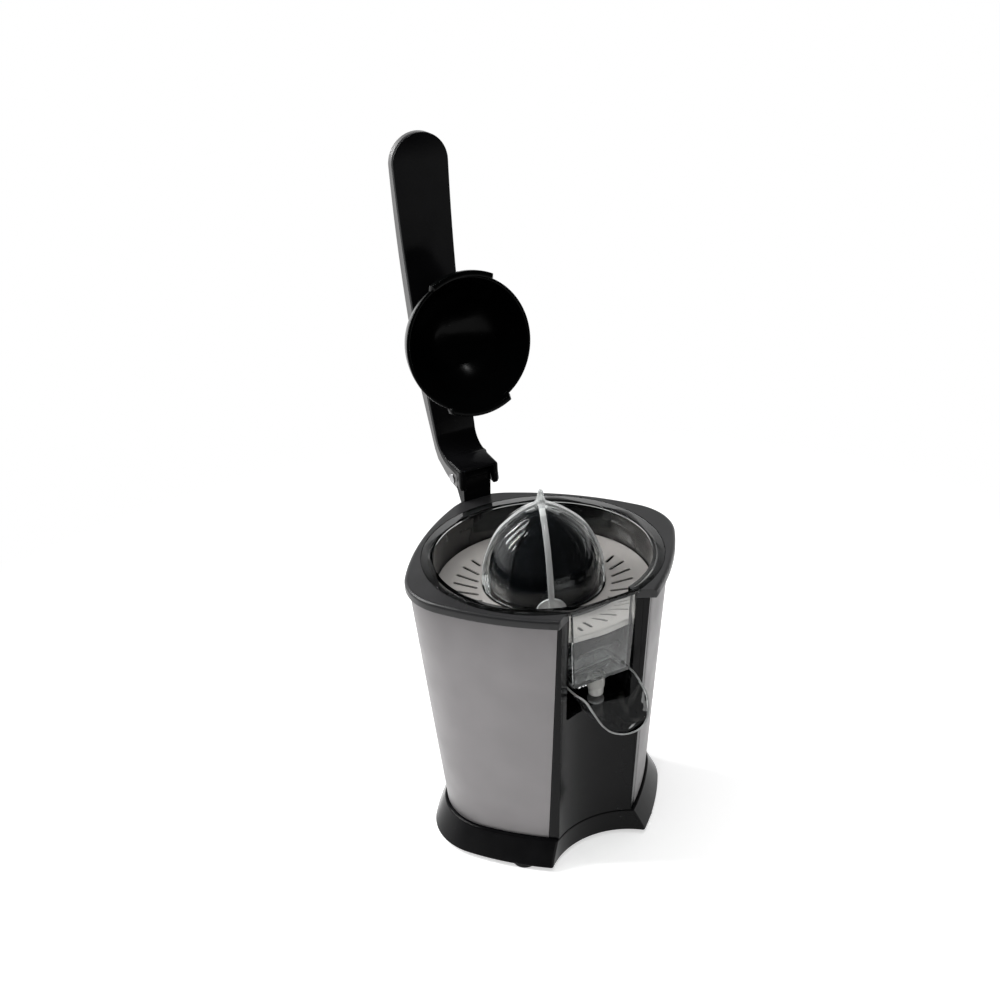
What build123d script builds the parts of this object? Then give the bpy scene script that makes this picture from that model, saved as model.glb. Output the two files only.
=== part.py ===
"""Lever citrus press: a geared motor turns a cone in a clear bowl, and a hinged arm presses the fruit on it.

Millimetres. The origin is on the bowl's axis, on the table; +Z is up and the spout faces -Y.
"""
import os
from math import cos, pi, radians, sin, sqrt, tan

from build123d import *

os.makedirs("parts", exist_ok=True)

# Heights above the table
FOOT_H = 3.0
BASE_TOP = 20.0
BAY_FLOOR = 111.0
DECK_TOP = 145.0
BODY_TOP = 184.0
RIM_TOP = 190.0

# Plan of the body: a rounded diamond, given by the distance from the axis to the middle of a side
SIDE_BOW_R = 188.0
RIM_FLAT = 77.5
BODY_FLAT_HIGH = 75.0
BODY_FLAT_LOW = 61.7
BASE_FLAT_HIGH = 63.2
BASE_FLAT_LOW = 70.2
CORNER_R = 40.0
RIM_CORNER_R = 38.0
WALL = 2.4
BASE_WALL = 3.0
WRAP_T = 0.8
WRAP_GAP = 0.3
PILLAR_X = 31.0

# The middle of the plan lies behind the bowl's axis, more so at the base
SHIFT_LOW = 4.5
SHIFT_HIGH = 1.5

# Concave front, where the glass stands: a leaning cone
GLASS_LOW_Y = -94.0
GLASS_LOW_R = 49.0
GLASS_HIGH_Y = -122.0
GLASS_HIGH_R = 57.0
GLASS_TOP = 200.0
PANEL_X = 26.0
PANEL_T = 1.5
BAY_X = 22.5
BAY_BACK_Y = -41.5

# Bowl, strainer and cones
BOWL_R = 73.0
BOWL_WALL_R = 66.0
BOWL_T = 2.0
BOWL_FLOOR = 145.5
LEDGE_Z = 166.0
CHUTE_TOP_X = 22.0
CHUTE_LOW_X = 19.2
CHUTE_TOP_Y = -69.3
CHUTE_LOW_Y = -64.8
CHUTE_BACK_Y = -50.0
CHUTE_FLOOR = 135.0
NOZZLE_Y = -58.0
NOZZLE_LOW = 121.5
NOZZLE_R = 5.5
STRAINER_Z = 169.8
STRAINER_R = 65.6
STRAINER_HOLE_R = 37.3
SLOT_R = 47.5
SLOT_SKEW = 34.0
CONE_R = 36.4
CONE_FOOT = 169.2
SPIKE_TIP = 231.4
CONE_TURN = -110.0

# Spout
SPOUT_X = 21.4
SPOUT_T = 1.6
SPOUT_PIVOT_Y = -45.2
SPOUT_PIVOT_Z = 131.0
SPOUT_TIP_Y = -98.5
SPOUT_TIP_Z = 119.7
SPOUT_TIP_LENGTH = 19.0
ROD_R = 1.5

# Lever arm and its hinge
PIN_Y = 90.0
PIN_Z = 205.6
PIN_R = 2.5
NECK_X = 9.6
KNUCKLE_X = 14.0
ARM_TIP_Z = 416.4
ARM_TIP_R = 18.6
COVER_T = 2.0
CUP_Y = 81.0
CUP_Z = 297.3
CUP_TILT = 11.7
CUP_R = 42.0
CUP_T = 2.0

# Drive train
SHAFT_R = 4.0
SHAFT_TOP = 197.0
RUN = 0.05
MODULE_SLOW = 1.0
MODULE_FAST = 0.7
OUTPUT_TEETH = 60
IDLER_SMALL_TEETH = 12
IDLER_LARGE_TEETH = 60
PINION_TEETH = 10
TOOTH_FILL = 0.74
IDLER_TURN = 45.0
MOTOR_TURN = 150.0
MOTOR_R = 19.0
PLATE_Z = 90.0
COVER_Z = 122.0
PLATE_T = 3.0
GEAR_Z = 104.0
GEAR_T = 8.0

slow_distance = MODULE_SLOW * (OUTPUT_TEETH + IDLER_SMALL_TEETH) / 2
fast_distance = MODULE_FAST * (IDLER_LARGE_TEETH + PINION_TEETH) / 2
IDLER_X = slow_distance * cos(radians(IDLER_TURN))
IDLER_Y = slow_distance * sin(radians(IDLER_TURN))
MOTOR_X = IDLER_X + fast_distance * cos(radians(MOTOR_TURN))
MOTOR_Y = IDLER_Y + fast_distance * sin(radians(MOTOR_TURN))


def plan_face(flat, z, corner=CORNER_R, shift=0.0):
    """The rounded diamond at a height: four bowed sides and soft corners, its middle moved back by shift."""
    inset = (SIDE_BOW_R - flat) * sqrt(0.5)
    tip = sqrt(SIDE_BOW_R**2 - inset**2) - inset
    mid = flat * sqrt(0.5)
    with BuildSketch(Plane.XY.offset(z)) as plan:
        with BuildLine():
            ThreePointArc((tip, shift), (mid, shift + mid), (0, shift + tip))
            ThreePointArc((0, shift + tip), (-mid, shift + mid), (-tip, shift))
            ThreePointArc((-tip, shift), (-mid, shift - mid), (0, shift - tip))
            ThreePointArc((0, shift - tip), (mid, shift - mid), (tip, shift))
        make_face()
        fillet(plan.vertices(), corner)
    return plan.sketch


def body_share(z):
    """How far up the body a height lies, from 0 at the base to 1 under the rim."""
    return max(0.0, (z - BASE_TOP) / (BODY_TOP - BASE_TOP))


def body_flat(z):
    """Side distance of the body's outside at a height: the body narrows downwards."""
    return BODY_FLAT_LOW + body_share(z) * (BODY_FLAT_HIGH - BODY_FLAT_LOW)


def body_shift(z):
    """How far behind the bowl's axis the middle of the plan lies at a height."""
    return SHIFT_LOW + body_share(z) * (SHIFT_HIGH - SHIFT_LOW)


def diamond_block(flat_low, flat_high, z_low, z_high, mode=Mode.ADD):
    """A block of diamond plan that widens evenly from one height to another."""
    low = plan_face(flat_low, z_low, shift=body_shift(z_low))
    high = plan_face(flat_high, z_high, shift=body_shift(z_high))
    loft([low, high], mode=mode)


def body_block(inset, z_low, z_high, mode=Mode.ADD):
    """The body's outside form between two heights, moved inwards by inset."""
    diamond_block(body_flat(z_low) - inset, body_flat(z_high) - inset, z_low, z_high, mode)


def glass_block(grow=0.0, mode=Mode.SUBTRACT):
    """The leaning cone in front of the body that leaves room for a glass."""
    with BuildSketch(Plane((0, GLASS_LOW_Y, 0))) as low:
        Circle(GLASS_LOW_R + grow)
    with BuildSketch(Plane((0, GLASS_HIGH_Y, GLASS_TOP))) as high:
        Circle(GLASS_HIGH_R + grow)
    loft([low.sketch, high.sketch], mode=mode)


def block(x_size, y_low, y_high, z_low, z_high, mode=Mode.ADD):
    """A box centred on the front-to-back plane."""
    with Locations((0, (y_low + y_high) / 2, (z_low + z_high) / 2)):
        Box(x_size, y_high - y_low, z_high - z_low, mode=mode)


def rod(radius, x, y, z_low, z_high, mode=Mode.ADD):
    """An upright cylinder between two heights."""
    with Locations((x, y, z_low)):
        Cylinder(radius, z_high - z_low, align=(Align.CENTER, Align.CENTER, Align.MIN), mode=mode)


def cross_pin(radius, y, z, half_length, mode=Mode.ADD):
    """A cylinder along X, centred on the front-to-back plane."""
    with Locations((0, y, z)):
        Cylinder(radius, 2 * half_length, rotation=(0, 90, 0), mode=mode)


# Base shell
with BuildPart() as base_hollow:
    diamond_block(BASE_FLAT_LOW - BASE_WALL, BASE_FLAT_HIGH - BASE_WALL, FOOT_H, BASE_TOP - BASE_WALL)
    glass_block(BASE_WALL)

SCREW_PLACES = [(x, y) for x in (-38, 38) for y in (-26, 26)]
FOOT_X = 42.8
FOOT_FRONT_Y = -39.8
FOOT_BACK_Y = 45.8
FOOT_PLACES = [(0, 0)] + [(x, y) for x in (-FOOT_X, FOOT_X) for y in (FOOT_FRONT_Y, FOOT_BACK_Y)]
FOOT_R = 8.0
PEG_R = 3.0
PLATE_LOW_T = 2.0
SCREW_R = 1.5
SCREW_HOLE_R = 1.7
BOSS_R = 4.0
WIRE_HOLE_R = 38.0
GLAND_Z = 12.0
GLAND_R = 5.0
GLAND_LENGTH = 22.0
with BuildPart() as base_shell:
    diamond_block(BASE_FLAT_LOW, BASE_FLAT_HIGH, FOOT_H, BASE_TOP)
    glass_block()
    front_corners = base_shell.edges().filter_by(
        lambda e: (e @ 0.5).Y < -44 and abs((e @ 0).Z - (e @ 1).Z) > 5
    )
    fillet(front_corners, 1.5)
    fillet(base_shell.faces().sort_by(Axis.Z)[-1].edges(), 1.5)
    fillet(base_shell.faces().sort_by(Axis.Z)[0].edges(), 0.6)
    add(base_hollow.part, mode=Mode.SUBTRACT)
    for x, y in SCREW_PLACES:
        rod(BOSS_R, x, y, FOOT_H + PLATE_LOW_T + 0.2, BASE_TOP - BASE_WALL)
        rod(SCREW_HOLE_R, x, y, FOOT_H, BASE_TOP - BASE_WALL - 1, mode=Mode.SUBTRACT)
    rod(WIRE_HOLE_R, 0, 0, BASE_TOP - BASE_WALL - 1, BASE_TOP + 1, mode=Mode.SUBTRACT)
    with Locations((0, 72, GLAND_Z)):
        Cylinder(GLAND_R + 0.2, 34, rotation=(90, 0, 0), mode=Mode.SUBTRACT)
base_shell.part.label = "base_shell"
export_step(base_shell.part, "parts/base_shell.step")

# Bottom plate with vents, five feet and screws; the middle foot takes the force of the press
with BuildPart() as bottom_plate:
    extrude(plan_face(BASE_FLAT_LOW - BASE_WALL - 1.4, FOOT_H, shift=SHIFT_LOW), amount=PLATE_LOW_T)
    glass_block(BASE_WALL + 0.4)
    for x, y in SCREW_PLACES:
        rod(SCREW_HOLE_R, x, y, 0, 10, mode=Mode.SUBTRACT)
    with BuildSketch(Plane.XY.offset(FOOT_H)):
        with Locations(*FOOT_PLACES):
            Circle(PEG_R + 0.2)
        with GridLocations(9, 44, 5, 2):
            SlotOverall(22, 3, rotation=90)
    extrude(amount=PLATE_LOW_T, mode=Mode.SUBTRACT)
bottom_plate.part.label = "bottom_plate"
export_step(bottom_plate.part, "parts/bottom_plate.step")

with BuildPart() as rubber_feet:
    with BuildSketch():
        with Locations(*FOOT_PLACES):
            Circle(FOOT_R)
    extrude(amount=FOOT_H)
    chamfer(rubber_feet.edges().group_by(Axis.Z)[0], 0.8)
    with BuildSketch(Plane.XY.offset(FOOT_H)):
        with Locations(*FOOT_PLACES):
            Circle(PEG_R)
    extrude(amount=PLATE_LOW_T + 1)
rubber_feet.part.label = "rubber_feet"
export_step(rubber_feet.part, "parts/rubber_feet.step")

with BuildPart() as bottom_screws:
    for x, y in SCREW_PLACES:
        rod(3.2, x, y, FOOT_H - 1.6, FOOT_H)
        rod(SCREW_R, x, y, FOOT_H, FOOT_H + 11)
bottom_screws.part.label = "bottom_screws"
export_step(bottom_screws.part, "parts/bottom_screws.step")

# Cord gland in the back of the base; the cord itself is not part of the model
with BuildPart() as cord_gland:
    with BuildSketch(Plane.XZ.offset(-60)):
        with Locations((0, GLAND_Z)):
            Circle(GLAND_R)
            Circle(3.2, mode=Mode.SUBTRACT)
    extrude(amount=-GLAND_LENGTH)
    with BuildSketch(Plane.XZ.offset(-61)):
        with Locations((0, GLAND_Z)):
            Circle(GLAND_R - 0.1)
    extrude(amount=-2)
cord_gland.part.label = "cord_gland"
export_step(cord_gland.part, "parts/cord_gland.step")

# Housing: inner shell with the two front pillars and a ledge for the deck
LEDGE_LOW = DECK_TOP - 7
SHELL_INSET = WRAP_T + WRAP_GAP
HOLLOW_INSET = SHELL_INSET + WALL
with BuildPart() as housing_hollow:
    body_block(HOLLOW_INSET, BASE_TOP, LEDGE_LOW)
    body_block(HOLLOW_INSET + 5, LEDGE_LOW, LEDGE_LOW + 4)
    body_block(HOLLOW_INSET, LEDGE_LOW + 4, BODY_TOP)
    glass_block(PANEL_T + WALL)

with BuildPart() as panel_pocket:
    glass_block(PANEL_T + 0.1, mode=Mode.ADD)
    block(2 * (PANEL_X + 0.1), -110, 0, 0, GLASS_TOP, mode=Mode.INTERSECT)

with BuildPart() as pillar_form:
    body_block(0, BASE_TOP, BODY_TOP)
    block(2 * PILLAR_X, -100, -20, 0, RIM_TOP, mode=Mode.INTERSECT)

with BuildPart() as housing:
    body_block(SHELL_INSET, BASE_TOP, BODY_TOP)
    add(pillar_form.part)
    glass_block()
    add(housing_hollow.part, mode=Mode.SUBTRACT)
    add(panel_pocket.part, mode=Mode.SUBTRACT)
    block(2 * BAY_X, -100, -45, BAY_FLOOR, RIM_TOP, mode=Mode.SUBTRACT)
    block(2 * (PANEL_X + 0.1), -100, -45, LEDGE_Z - 6, RIM_TOP, mode=Mode.SUBTRACT)
    pillar_corners = housing.edges().filter_by(
        lambda e: (e @ 0.5).Y < -50
        and abs(abs((e @ 0.5).X) - PILLAR_X) < 0.6
        and abs((e @ 0).Z - (e @ 1).Z) > 50
    )
    fillet(pillar_corners, 1.2)
housing.part.label = "housing"
export_step(housing.part, "parts/housing.step")

# Silver wrap round the sides and the back
with BuildPart() as steel_wrap:
    body_block(0, BASE_TOP + 0.2, BODY_TOP - 0.2)
    body_block(WRAP_T, BASE_TOP + 0.2, BODY_TOP - 0.2, mode=Mode.SUBTRACT)
    block(2 * PILLAR_X + 0.6, -110, 0, 0, RIM_TOP, mode=Mode.SUBTRACT)
steel_wrap.part.label = "steel_wrap"
export_step(steel_wrap.part, "parts/steel_wrap.step")

# Concave front panel, cut out round the spout bay
with BuildPart() as front_panel:
    glass_block(PANEL_T, mode=Mode.ADD)
    glass_block()
    block(2 * PANEL_X, -90, -35, BASE_TOP + 0.3, BODY_TOP - 0.3, mode=Mode.INTERSECT)
    block(2 * BAY_X, -100, -35, BAY_FLOOR, RIM_TOP, mode=Mode.SUBTRACT)
    bay_corners = front_panel.edges().filter_by(
        lambda e: abs((e @ 0.5).Z - BAY_FLOOR) < 0.5 and e.length < 3
    )
    fillet(bay_corners, 3.0)
front_panel.part.label = "front_panel"
export_step(front_panel.part, "parts/front_panel.step")

# Spout bay: a box behind the panel's cut-out, open in front and on top
BAY_T = 1.8
BAY_SEAM = 0.8
BAY_TOP = DECK_TOP - 3.2
with BuildPart() as spout_bay:
    block(2 * (BAY_X + BAY_T), -100, BAY_BACK_Y + BAY_T, BAY_FLOOR - BAY_T, BAY_TOP)
    block(2 * BAY_X, -110, BAY_BACK_Y, BAY_FLOOR, BAY_TOP + 1, mode=Mode.SUBTRACT)
    glass_block(PANEL_T + WALL + BAY_SEAM)
    cross_pin(ROD_R + RUN, SPOUT_PIVOT_Y, SPOUT_PIVOT_Z, 40, mode=Mode.SUBTRACT)
spout_bay.part.label = "spout_bay"
export_step(spout_bay.part, "parts/spout_bay.step")

# Deck under the bowl, with a collar for the shaft and posts for the gearbox
COLLAR_R = 9.0
BUSH_HIGH_R = 6.5
POST_PLACES = [(-36, -12), (37, -13), (-22, 46), (24, 53)]
with BuildPart() as deck:
    body_block(HOLLOW_INSET + 0.4, DECK_TOP - 3, DECK_TOP)
    glass_block(PANEL_T + WALL + 0.4)
    rod(COLLAR_R, 0, 0, DECK_TOP - 15, DECK_TOP + 7)
    rod(BUSH_HIGH_R, 0, 0, DECK_TOP - 16, DECK_TOP + 8, mode=Mode.SUBTRACT)
    for x, y in POST_PLACES:
        rod(BOSS_R, x, y, COVER_Z + PLATE_T, DECK_TOP - 3)
        rod(SCREW_HOLE_R, x, y, COVER_Z, DECK_TOP - 6, mode=Mode.SUBTRACT)
    block(2 * BAY_X, -110, CHUTE_BACK_Y + 2.5, DECK_TOP - 10, DECK_TOP + 1, mode=Mode.SUBTRACT)
deck.part.label = "deck"
export_step(deck.part, "parts/deck.step")

# Top rim with the ledge for the bowl and the hinge neck on its back corner
RIM_SEAT_R = BOWL_R + 0.4
RIM_HOLE_R = 69.0
SEAT_Z = RIM_TOP - 2
SKIRT_H = 4.0
with BuildPart() as top_rim:
    extrude(plan_face(RIM_FLAT, BODY_TOP, RIM_CORNER_R), amount=RIM_TOP - BODY_TOP)
    fillet(top_rim.faces().sort_by(Axis.Z)[-1].edges(), 2.2)
    fillet(top_rim.faces().sort_by(Axis.Z)[0].edges(), 0.8)
    glass_block()
    rod(RIM_SEAT_R, 0, 0, SEAT_Z, RIM_TOP + 1, mode=Mode.SUBTRACT)
    rod(RIM_HOLE_R, 0, 0, BODY_TOP - 10, RIM_TOP, mode=Mode.SUBTRACT)
    with BuildSketch(Plane.XY.offset(BODY_TOP - SKIRT_H)):
        Circle(RIM_HOLE_R + 0.9)
        Circle(RIM_HOLE_R, mode=Mode.SUBTRACT)
        with Locations((0, -70)):
            Rectangle(160, 60, mode=Mode.SUBTRACT)
    extrude(amount=SKIRT_H)
    block(2 * BAY_X, -110, -40, BODY_TOP - 10, RIM_TOP + 1, mode=Mode.SUBTRACT)
    with BuildSketch(Plane.YZ):
        with Locations((PIN_Y, PIN_Z)):
            Circle(7.0)
        with Locations((85.7, BODY_TOP + 2.5)):
            Rectangle(3, 4)
        make_hull()
    extrude(amount=NECK_X, both=True)
    cross_pin(PIN_R + RUN, PIN_Y, PIN_Z, 20, mode=Mode.SUBTRACT)
top_rim.part.label = "top_rim"
export_step(top_rim.part, "parts/top_rim.step")


# Lever arm: one outside form, split into a black face with the hinge's front and a silver cover behind it
def arm_block(inset=0.0, front=0.0, mode=Mode.ADD):
    """The arm's solid form: its side view crossed with its front view, a paddle with a round tip.

    inset thins the back and the edges; front moves the inner face in +Y.
    """
    tip_r = ARM_TIP_R - inset
    tip_z = ARM_TIP_Z - ARM_TIP_R
    root = KNUCKLE_X - inset
    heel = (101 - 0.5 * inset, 200.5 + 0.9 * inset)
    with BuildSketch(Plane.YZ) as side_view:
        with BuildLine():
            Polyline((94 + front, 216.4), (78.6 + front, 214.4), (78.6 + front, 201), (82, 197.6 + inset))
            ThreePointArc((82, 197.6 + inset), (90, 194.2 + inset), heel)
            ThreePointArc(heel, (113.5 - 0.8 * inset, 211.5 + 0.6 * inset), (121 - inset, 226))
            ThreePointArc((121 - inset, 226), (136 - inset, 300), (141 - inset, ARM_TIP_Z + 1))
            Line((141 - inset, ARM_TIP_Z + 1), (133.6 + front, ARM_TIP_Z + 1))
            ThreePointArc((133.6 + front, ARM_TIP_Z + 1), (124.6 + front, 300), (110 + front, 230))
            ThreePointArc((110 + front, 230), (104.5 + front, 219.6), (94 + front, 216.4))
        make_face()
    with BuildSketch(Plane.XZ) as front_view:
        with BuildLine():
            Polyline((-tip_r, tip_z), (-root, 225), (-root, 180), (root, 180), (root, 225), (tip_r, tip_z))
            ThreePointArc((tip_r, tip_z), (0, tip_z + tip_r), (-tip_r, tip_z))
        make_face()
    side = extrude(side_view.sketch, amount=30, both=True, mode=Mode.PRIVATE)
    paddle = extrude(front_view.sketch, amount=-200, mode=Mode.PRIVATE)
    add(side & paddle, mode=mode)


CUP_PLANE = Plane(
    origin=(0, CUP_Y, CUP_Z),
    x_dir=(1, 0, 0),
    z_dir=(0, -cos(radians(CUP_TILT)), sin(radians(CUP_TILT))),
)
SLOT_X = NECK_X + 0.5
SLOT_R_HINGE = 7.6


def hinge_slot():
    """Cuts the fork in the knuckle that the neck swings in, and the pin's hole."""
    cross_pin(SLOT_R_HINGE, PIN_Y, PIN_Z, SLOT_X, mode=Mode.SUBTRACT)
    block(2 * SLOT_X, 60, PIN_Y, 180, PIN_Z + SLOT_R_HINGE, mode=Mode.SUBTRACT)
    block(2 * SLOT_X, 60, PIN_Y + SLOT_R_HINGE, 180, PIN_Z, mode=Mode.SUBTRACT)
    cross_pin(PIN_R + RUN, PIN_Y, PIN_Z, 30, mode=Mode.SUBTRACT)


SHELL_T = 3.0
SHELL_GAP = 0.1


def behind_split(gap=0.0, mode=Mode.INTERSECT):
    """Everything behind the line where the black face meets the cover, moved forwards by gap."""
    top = ARM_TIP_Z + 1
    face = SHELL_T - gap
    with BuildSketch(Plane.YZ) as side_view:
        with BuildLine():
            ThreePointArc((133.6 + face, top), (124.6 + face, 300), (110.3 + face, 229))
            ThreePointArc((110.3 + face, 229), (104.8 - gap, 215.6 + gap), (95 - gap, 211.6 + gap))
            Polyline((95 - gap, 211.6 + gap), (84.2 - gap, 210.2 + gap), (84.2 - gap, 180), (170, 180),
                     (170, top), (133.6 + face, top))
        make_face()
    extrude(side_view.sketch, amount=40, both=True, mode=mode)


with BuildPart() as arm_pocket:
    arm_block(COVER_T, -12)
    block(60, 0, 200, 228, 450, mode=Mode.INTERSECT)

with BuildPart() as arm_cover:
    arm_block()
    behind_split()
    add(arm_pocket.part, mode=Mode.SUBTRACT)
    hinge_slot()
arm_cover.part.label = "arm_cover"
export_step(arm_cover.part, "parts/arm_cover.step")

STUD_R = 9.0
with BuildPart() as arm_shell:
    arm_block()
    behind_split(SHELL_GAP, mode=Mode.SUBTRACT)
    hinge_slot()
    with BuildSketch(CUP_PLANE.offset(-70)):
        Circle(STUD_R + 0.1)
    extrude(amount=40, mode=Mode.SUBTRACT)
arm_shell.part.label = "arm_shell"
export_step(arm_shell.part, "parts/arm_shell.step")

with BuildPart() as hinge_pin:
    cross_pin(PIN_R, PIN_Y, PIN_Z, KNUCKLE_X)
hinge_pin.part.label = "hinge_pin"
export_step(hinge_pin.part, "parts/hinge_pin.step")

with BuildPart() as hinge_caps:
    cross_pin(4.3, PIN_Y, PIN_Z, KNUCKLE_X + 1.4)
    cross_pin(5, PIN_Y, PIN_Z, KNUCKLE_X, mode=Mode.SUBTRACT)
hinge_caps.part.label = "hinge_caps"
export_step(hinge_caps.part, "parts/hinge_caps.step")

# Press cup: a dome with two lips, on a stud that goes into the arm
CUP_SECTION = Plane(origin=CUP_PLANE.origin, x_dir=(1, 0, 0), z_dir=CUP_PLANE.y_dir * -1)
CUP_OUTSIDE = [(CUP_R, 0), (40.2, -7), (36.4, -16.5), (29.5, -27), (18.5, -36.3), (0, -CUP_R)]
CUP_INSIDE = [(CUP_R - CUP_T, 0), (38.2, -6.6), (34.5, -15.6), (28, -25.5), (17.5, -34.4), (0, CUP_T - CUP_R)]
LIP_OUT = 2.6
LIP_IN_R = CUP_R - 1.0
LIP_T = 4.0
LIP_HALF = 30.0
with BuildPart() as press_cup:
    with BuildSketch(CUP_SECTION):
        with BuildLine():
            Line(CUP_INSIDE[0], CUP_OUTSIDE[0])
            Spline(*CUP_OUTSIDE, tangents=[(-0.2, -1), (-1, 0)])
            Line(CUP_OUTSIDE[-1], CUP_INSIDE[-1])
            Spline(*CUP_INSIDE, tangents=[(-0.2, -1), (-1, 0)])
        make_face()
    revolve(axis=Axis(CUP_PLANE.origin, CUP_PLANE.z_dir))
    for turn in (90, 270):
        with BuildSketch(CUP_PLANE):
            with BuildLine():
                CenterArc((0, 0), CUP_R + LIP_OUT, turn - LIP_HALF, 2 * LIP_HALF)
                CenterArc((0, 0), LIP_IN_R, turn - LIP_HALF, 2 * LIP_HALF)
                for end in (turn - LIP_HALF, turn + LIP_HALF):
                    Line(
                        (LIP_IN_R * cos(radians(end)), LIP_IN_R * sin(radians(end))),
                        ((CUP_R + LIP_OUT) * cos(radians(end)), (CUP_R + LIP_OUT) * sin(radians(end))),
                    )
            make_face()
        extrude(amount=LIP_T)
    with BuildSketch(CUP_PLANE.offset(-CUP_R + 1)):
        Circle(STUD_R)
    extrude(amount=-5)
    with BuildSketch(CUP_PLANE.offset(-CUP_R - 4)):
        Circle(1.6)
    extrude(amount=4, mode=Mode.SUBTRACT)
press_cup.part.label = "press_cup"
export_step(press_cup.part, "parts/press_cup.step")

with BuildPart() as cup_screw:
    with BuildSketch(CUP_PLANE.offset(-CUP_R - 4)):
        Circle(3.4)
    extrude(amount=-1.8)
    with BuildSketch(CUP_PLANE.offset(-CUP_R - 4)):
        Circle(1.5)
    extrude(amount=3.6)
cup_screw.part.label = "cup_screw"
export_step(cup_screw.part, "parts/cup_screw.step")


# Juice bowl: a turned dish with a centre tube, and the chute box in front
def chute_block(inset, floor, mode=Mode.ADD):
    """The chute's tapered box, moved inwards by inset, from its floor to the bowl's rim."""
    with BuildSketch(Plane((0, (CHUTE_LOW_Y + CHUTE_BACK_Y) / 2, floor))) as low:
        Rectangle(2 * (CHUTE_LOW_X - inset), CHUTE_BACK_Y - CHUTE_LOW_Y - 2 * inset)
    with BuildSketch(Plane((0, (CHUTE_TOP_Y + CHUTE_BACK_Y) / 2, RIM_TOP))) as high:
        Rectangle(2 * (CHUTE_TOP_X - inset), CHUTE_BACK_Y - CHUTE_TOP_Y - 2 * inset)
    loft([low.sketch, high.sketch], mode=mode)


TUBE_R = 12.5
TUBE_TOP = 172.0
with BuildPart() as bowl_outside:
    with BuildSketch(Plane.XZ):
        with BuildLine():
            Polyline((0, BOWL_FLOOR), (60, BOWL_FLOOR), (64, BOWL_FLOOR + 4), (64, LEDGE_Z - BOWL_T),
                     (BOWL_WALL_R + BOWL_T, LEDGE_Z - BOWL_T), (BOWL_WALL_R + BOWL_T, SEAT_Z),
                     (BOWL_R, SEAT_Z), (BOWL_R, RIM_TOP), (0, RIM_TOP), (0, BOWL_FLOOR))
        make_face()
    revolve()
    block(2 * CHUTE_TOP_X, -110, CHUTE_TOP_Y, 100, RIM_TOP + 1, mode=Mode.SUBTRACT)
    chute_block(0, CHUTE_FLOOR)

with BuildPart() as juice_bowl:
    add(bowl_outside.part)
    with BuildSketch(Plane.XZ):
        with BuildLine():
            Polyline((TUBE_R, BOWL_FLOOR + BOWL_T), (59.2, BOWL_FLOOR + BOWL_T), (62, BOWL_FLOOR + 4.8),
                     (62, LEDGE_Z), (BOWL_WALL_R, LEDGE_Z), (BOWL_WALL_R, RIM_TOP), (0, RIM_TOP),
                     (0, TUBE_TOP), (TUBE_R, TUBE_TOP), (TUBE_R, BOWL_FLOOR + BOWL_T))
        make_face()
    revolve(mode=Mode.SUBTRACT)
    chute_block(BOWL_T, CHUTE_FLOOR + BOWL_T, mode=Mode.SUBTRACT)
    rod(TUBE_R - BOWL_T, 0, 0, BOWL_FLOOR - 1, TUBE_TOP + 1, mode=Mode.SUBTRACT)
    rod(3.5, 0, NOZZLE_Y, CHUTE_FLOOR - 7, CHUTE_FLOOR + 1)
    rod(2.5, 0, NOZZLE_Y, CHUTE_FLOOR - 8, CHUTE_FLOOR + 4, mode=Mode.SUBTRACT)
juice_bowl.part.label = "juice_bowl"
export_step(juice_bowl.part, "parts/juice_bowl.step")

with BuildPart() as outlet_nozzle:
    rod(NOZZLE_R, 0, NOZZLE_Y, NOZZLE_LOW, CHUTE_FLOOR)
    rod(3.6, 0, NOZZLE_Y, CHUTE_FLOOR - 7.2, CHUTE_FLOOR + 1, mode=Mode.SUBTRACT)
    rod(2.5, 0, NOZZLE_Y, NOZZLE_LOW - 1, CHUTE_FLOOR, mode=Mode.SUBTRACT)
outlet_nozzle.part.label = "outlet_nozzle"
export_step(outlet_nozzle.part, "parts/outlet_nozzle.step")

# Strainer: a shallow steel dish with turned-down edges and two fields of slanted slots
STRAINER_T = 0.8
SLOT_STEP = 11.25
SLOT_FIELDS = {120.0: (9, 14, 15, 15, 15, 15, 15, 14, 10), 259.0: (6, 10, 15, 15, 15, 15, 15, 14, 9, 5)}
with BuildPart() as strainer:
    with BuildSketch(Plane.XZ):
        with BuildLine():
            Polyline((STRAINER_HOLE_R, STRAINER_Z - 2.6), (STRAINER_HOLE_R, STRAINER_Z),
                     (STRAINER_R, STRAINER_Z), (STRAINER_R, LEDGE_Z), (STRAINER_R - STRAINER_T, LEDGE_Z),
                     (STRAINER_R - STRAINER_T, STRAINER_Z - STRAINER_T),
                     (STRAINER_HOLE_R + STRAINER_T, STRAINER_Z - STRAINER_T),
                     (STRAINER_HOLE_R + STRAINER_T, STRAINER_Z - 2.6), (STRAINER_HOLE_R, STRAINER_Z - 2.6))
        make_face()
    revolve()
    with BuildSketch(Plane.XY.offset(STRAINER_Z + 0.5)):
        for first, lengths in SLOT_FIELDS.items():
            for step, length in enumerate(lengths):
                turn = first + step * SLOT_STEP
                with Locations((SLOT_R * cos(radians(turn)), SLOT_R * sin(radians(turn)))):
                    SlotOverall(length, 1.3, rotation=turn + SLOT_SKEW)
    extrude(amount=-2, mode=Mode.SUBTRACT)
strainer.part.label = "strainer"
export_step(strainer.part, "parts/strainer.step")

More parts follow.
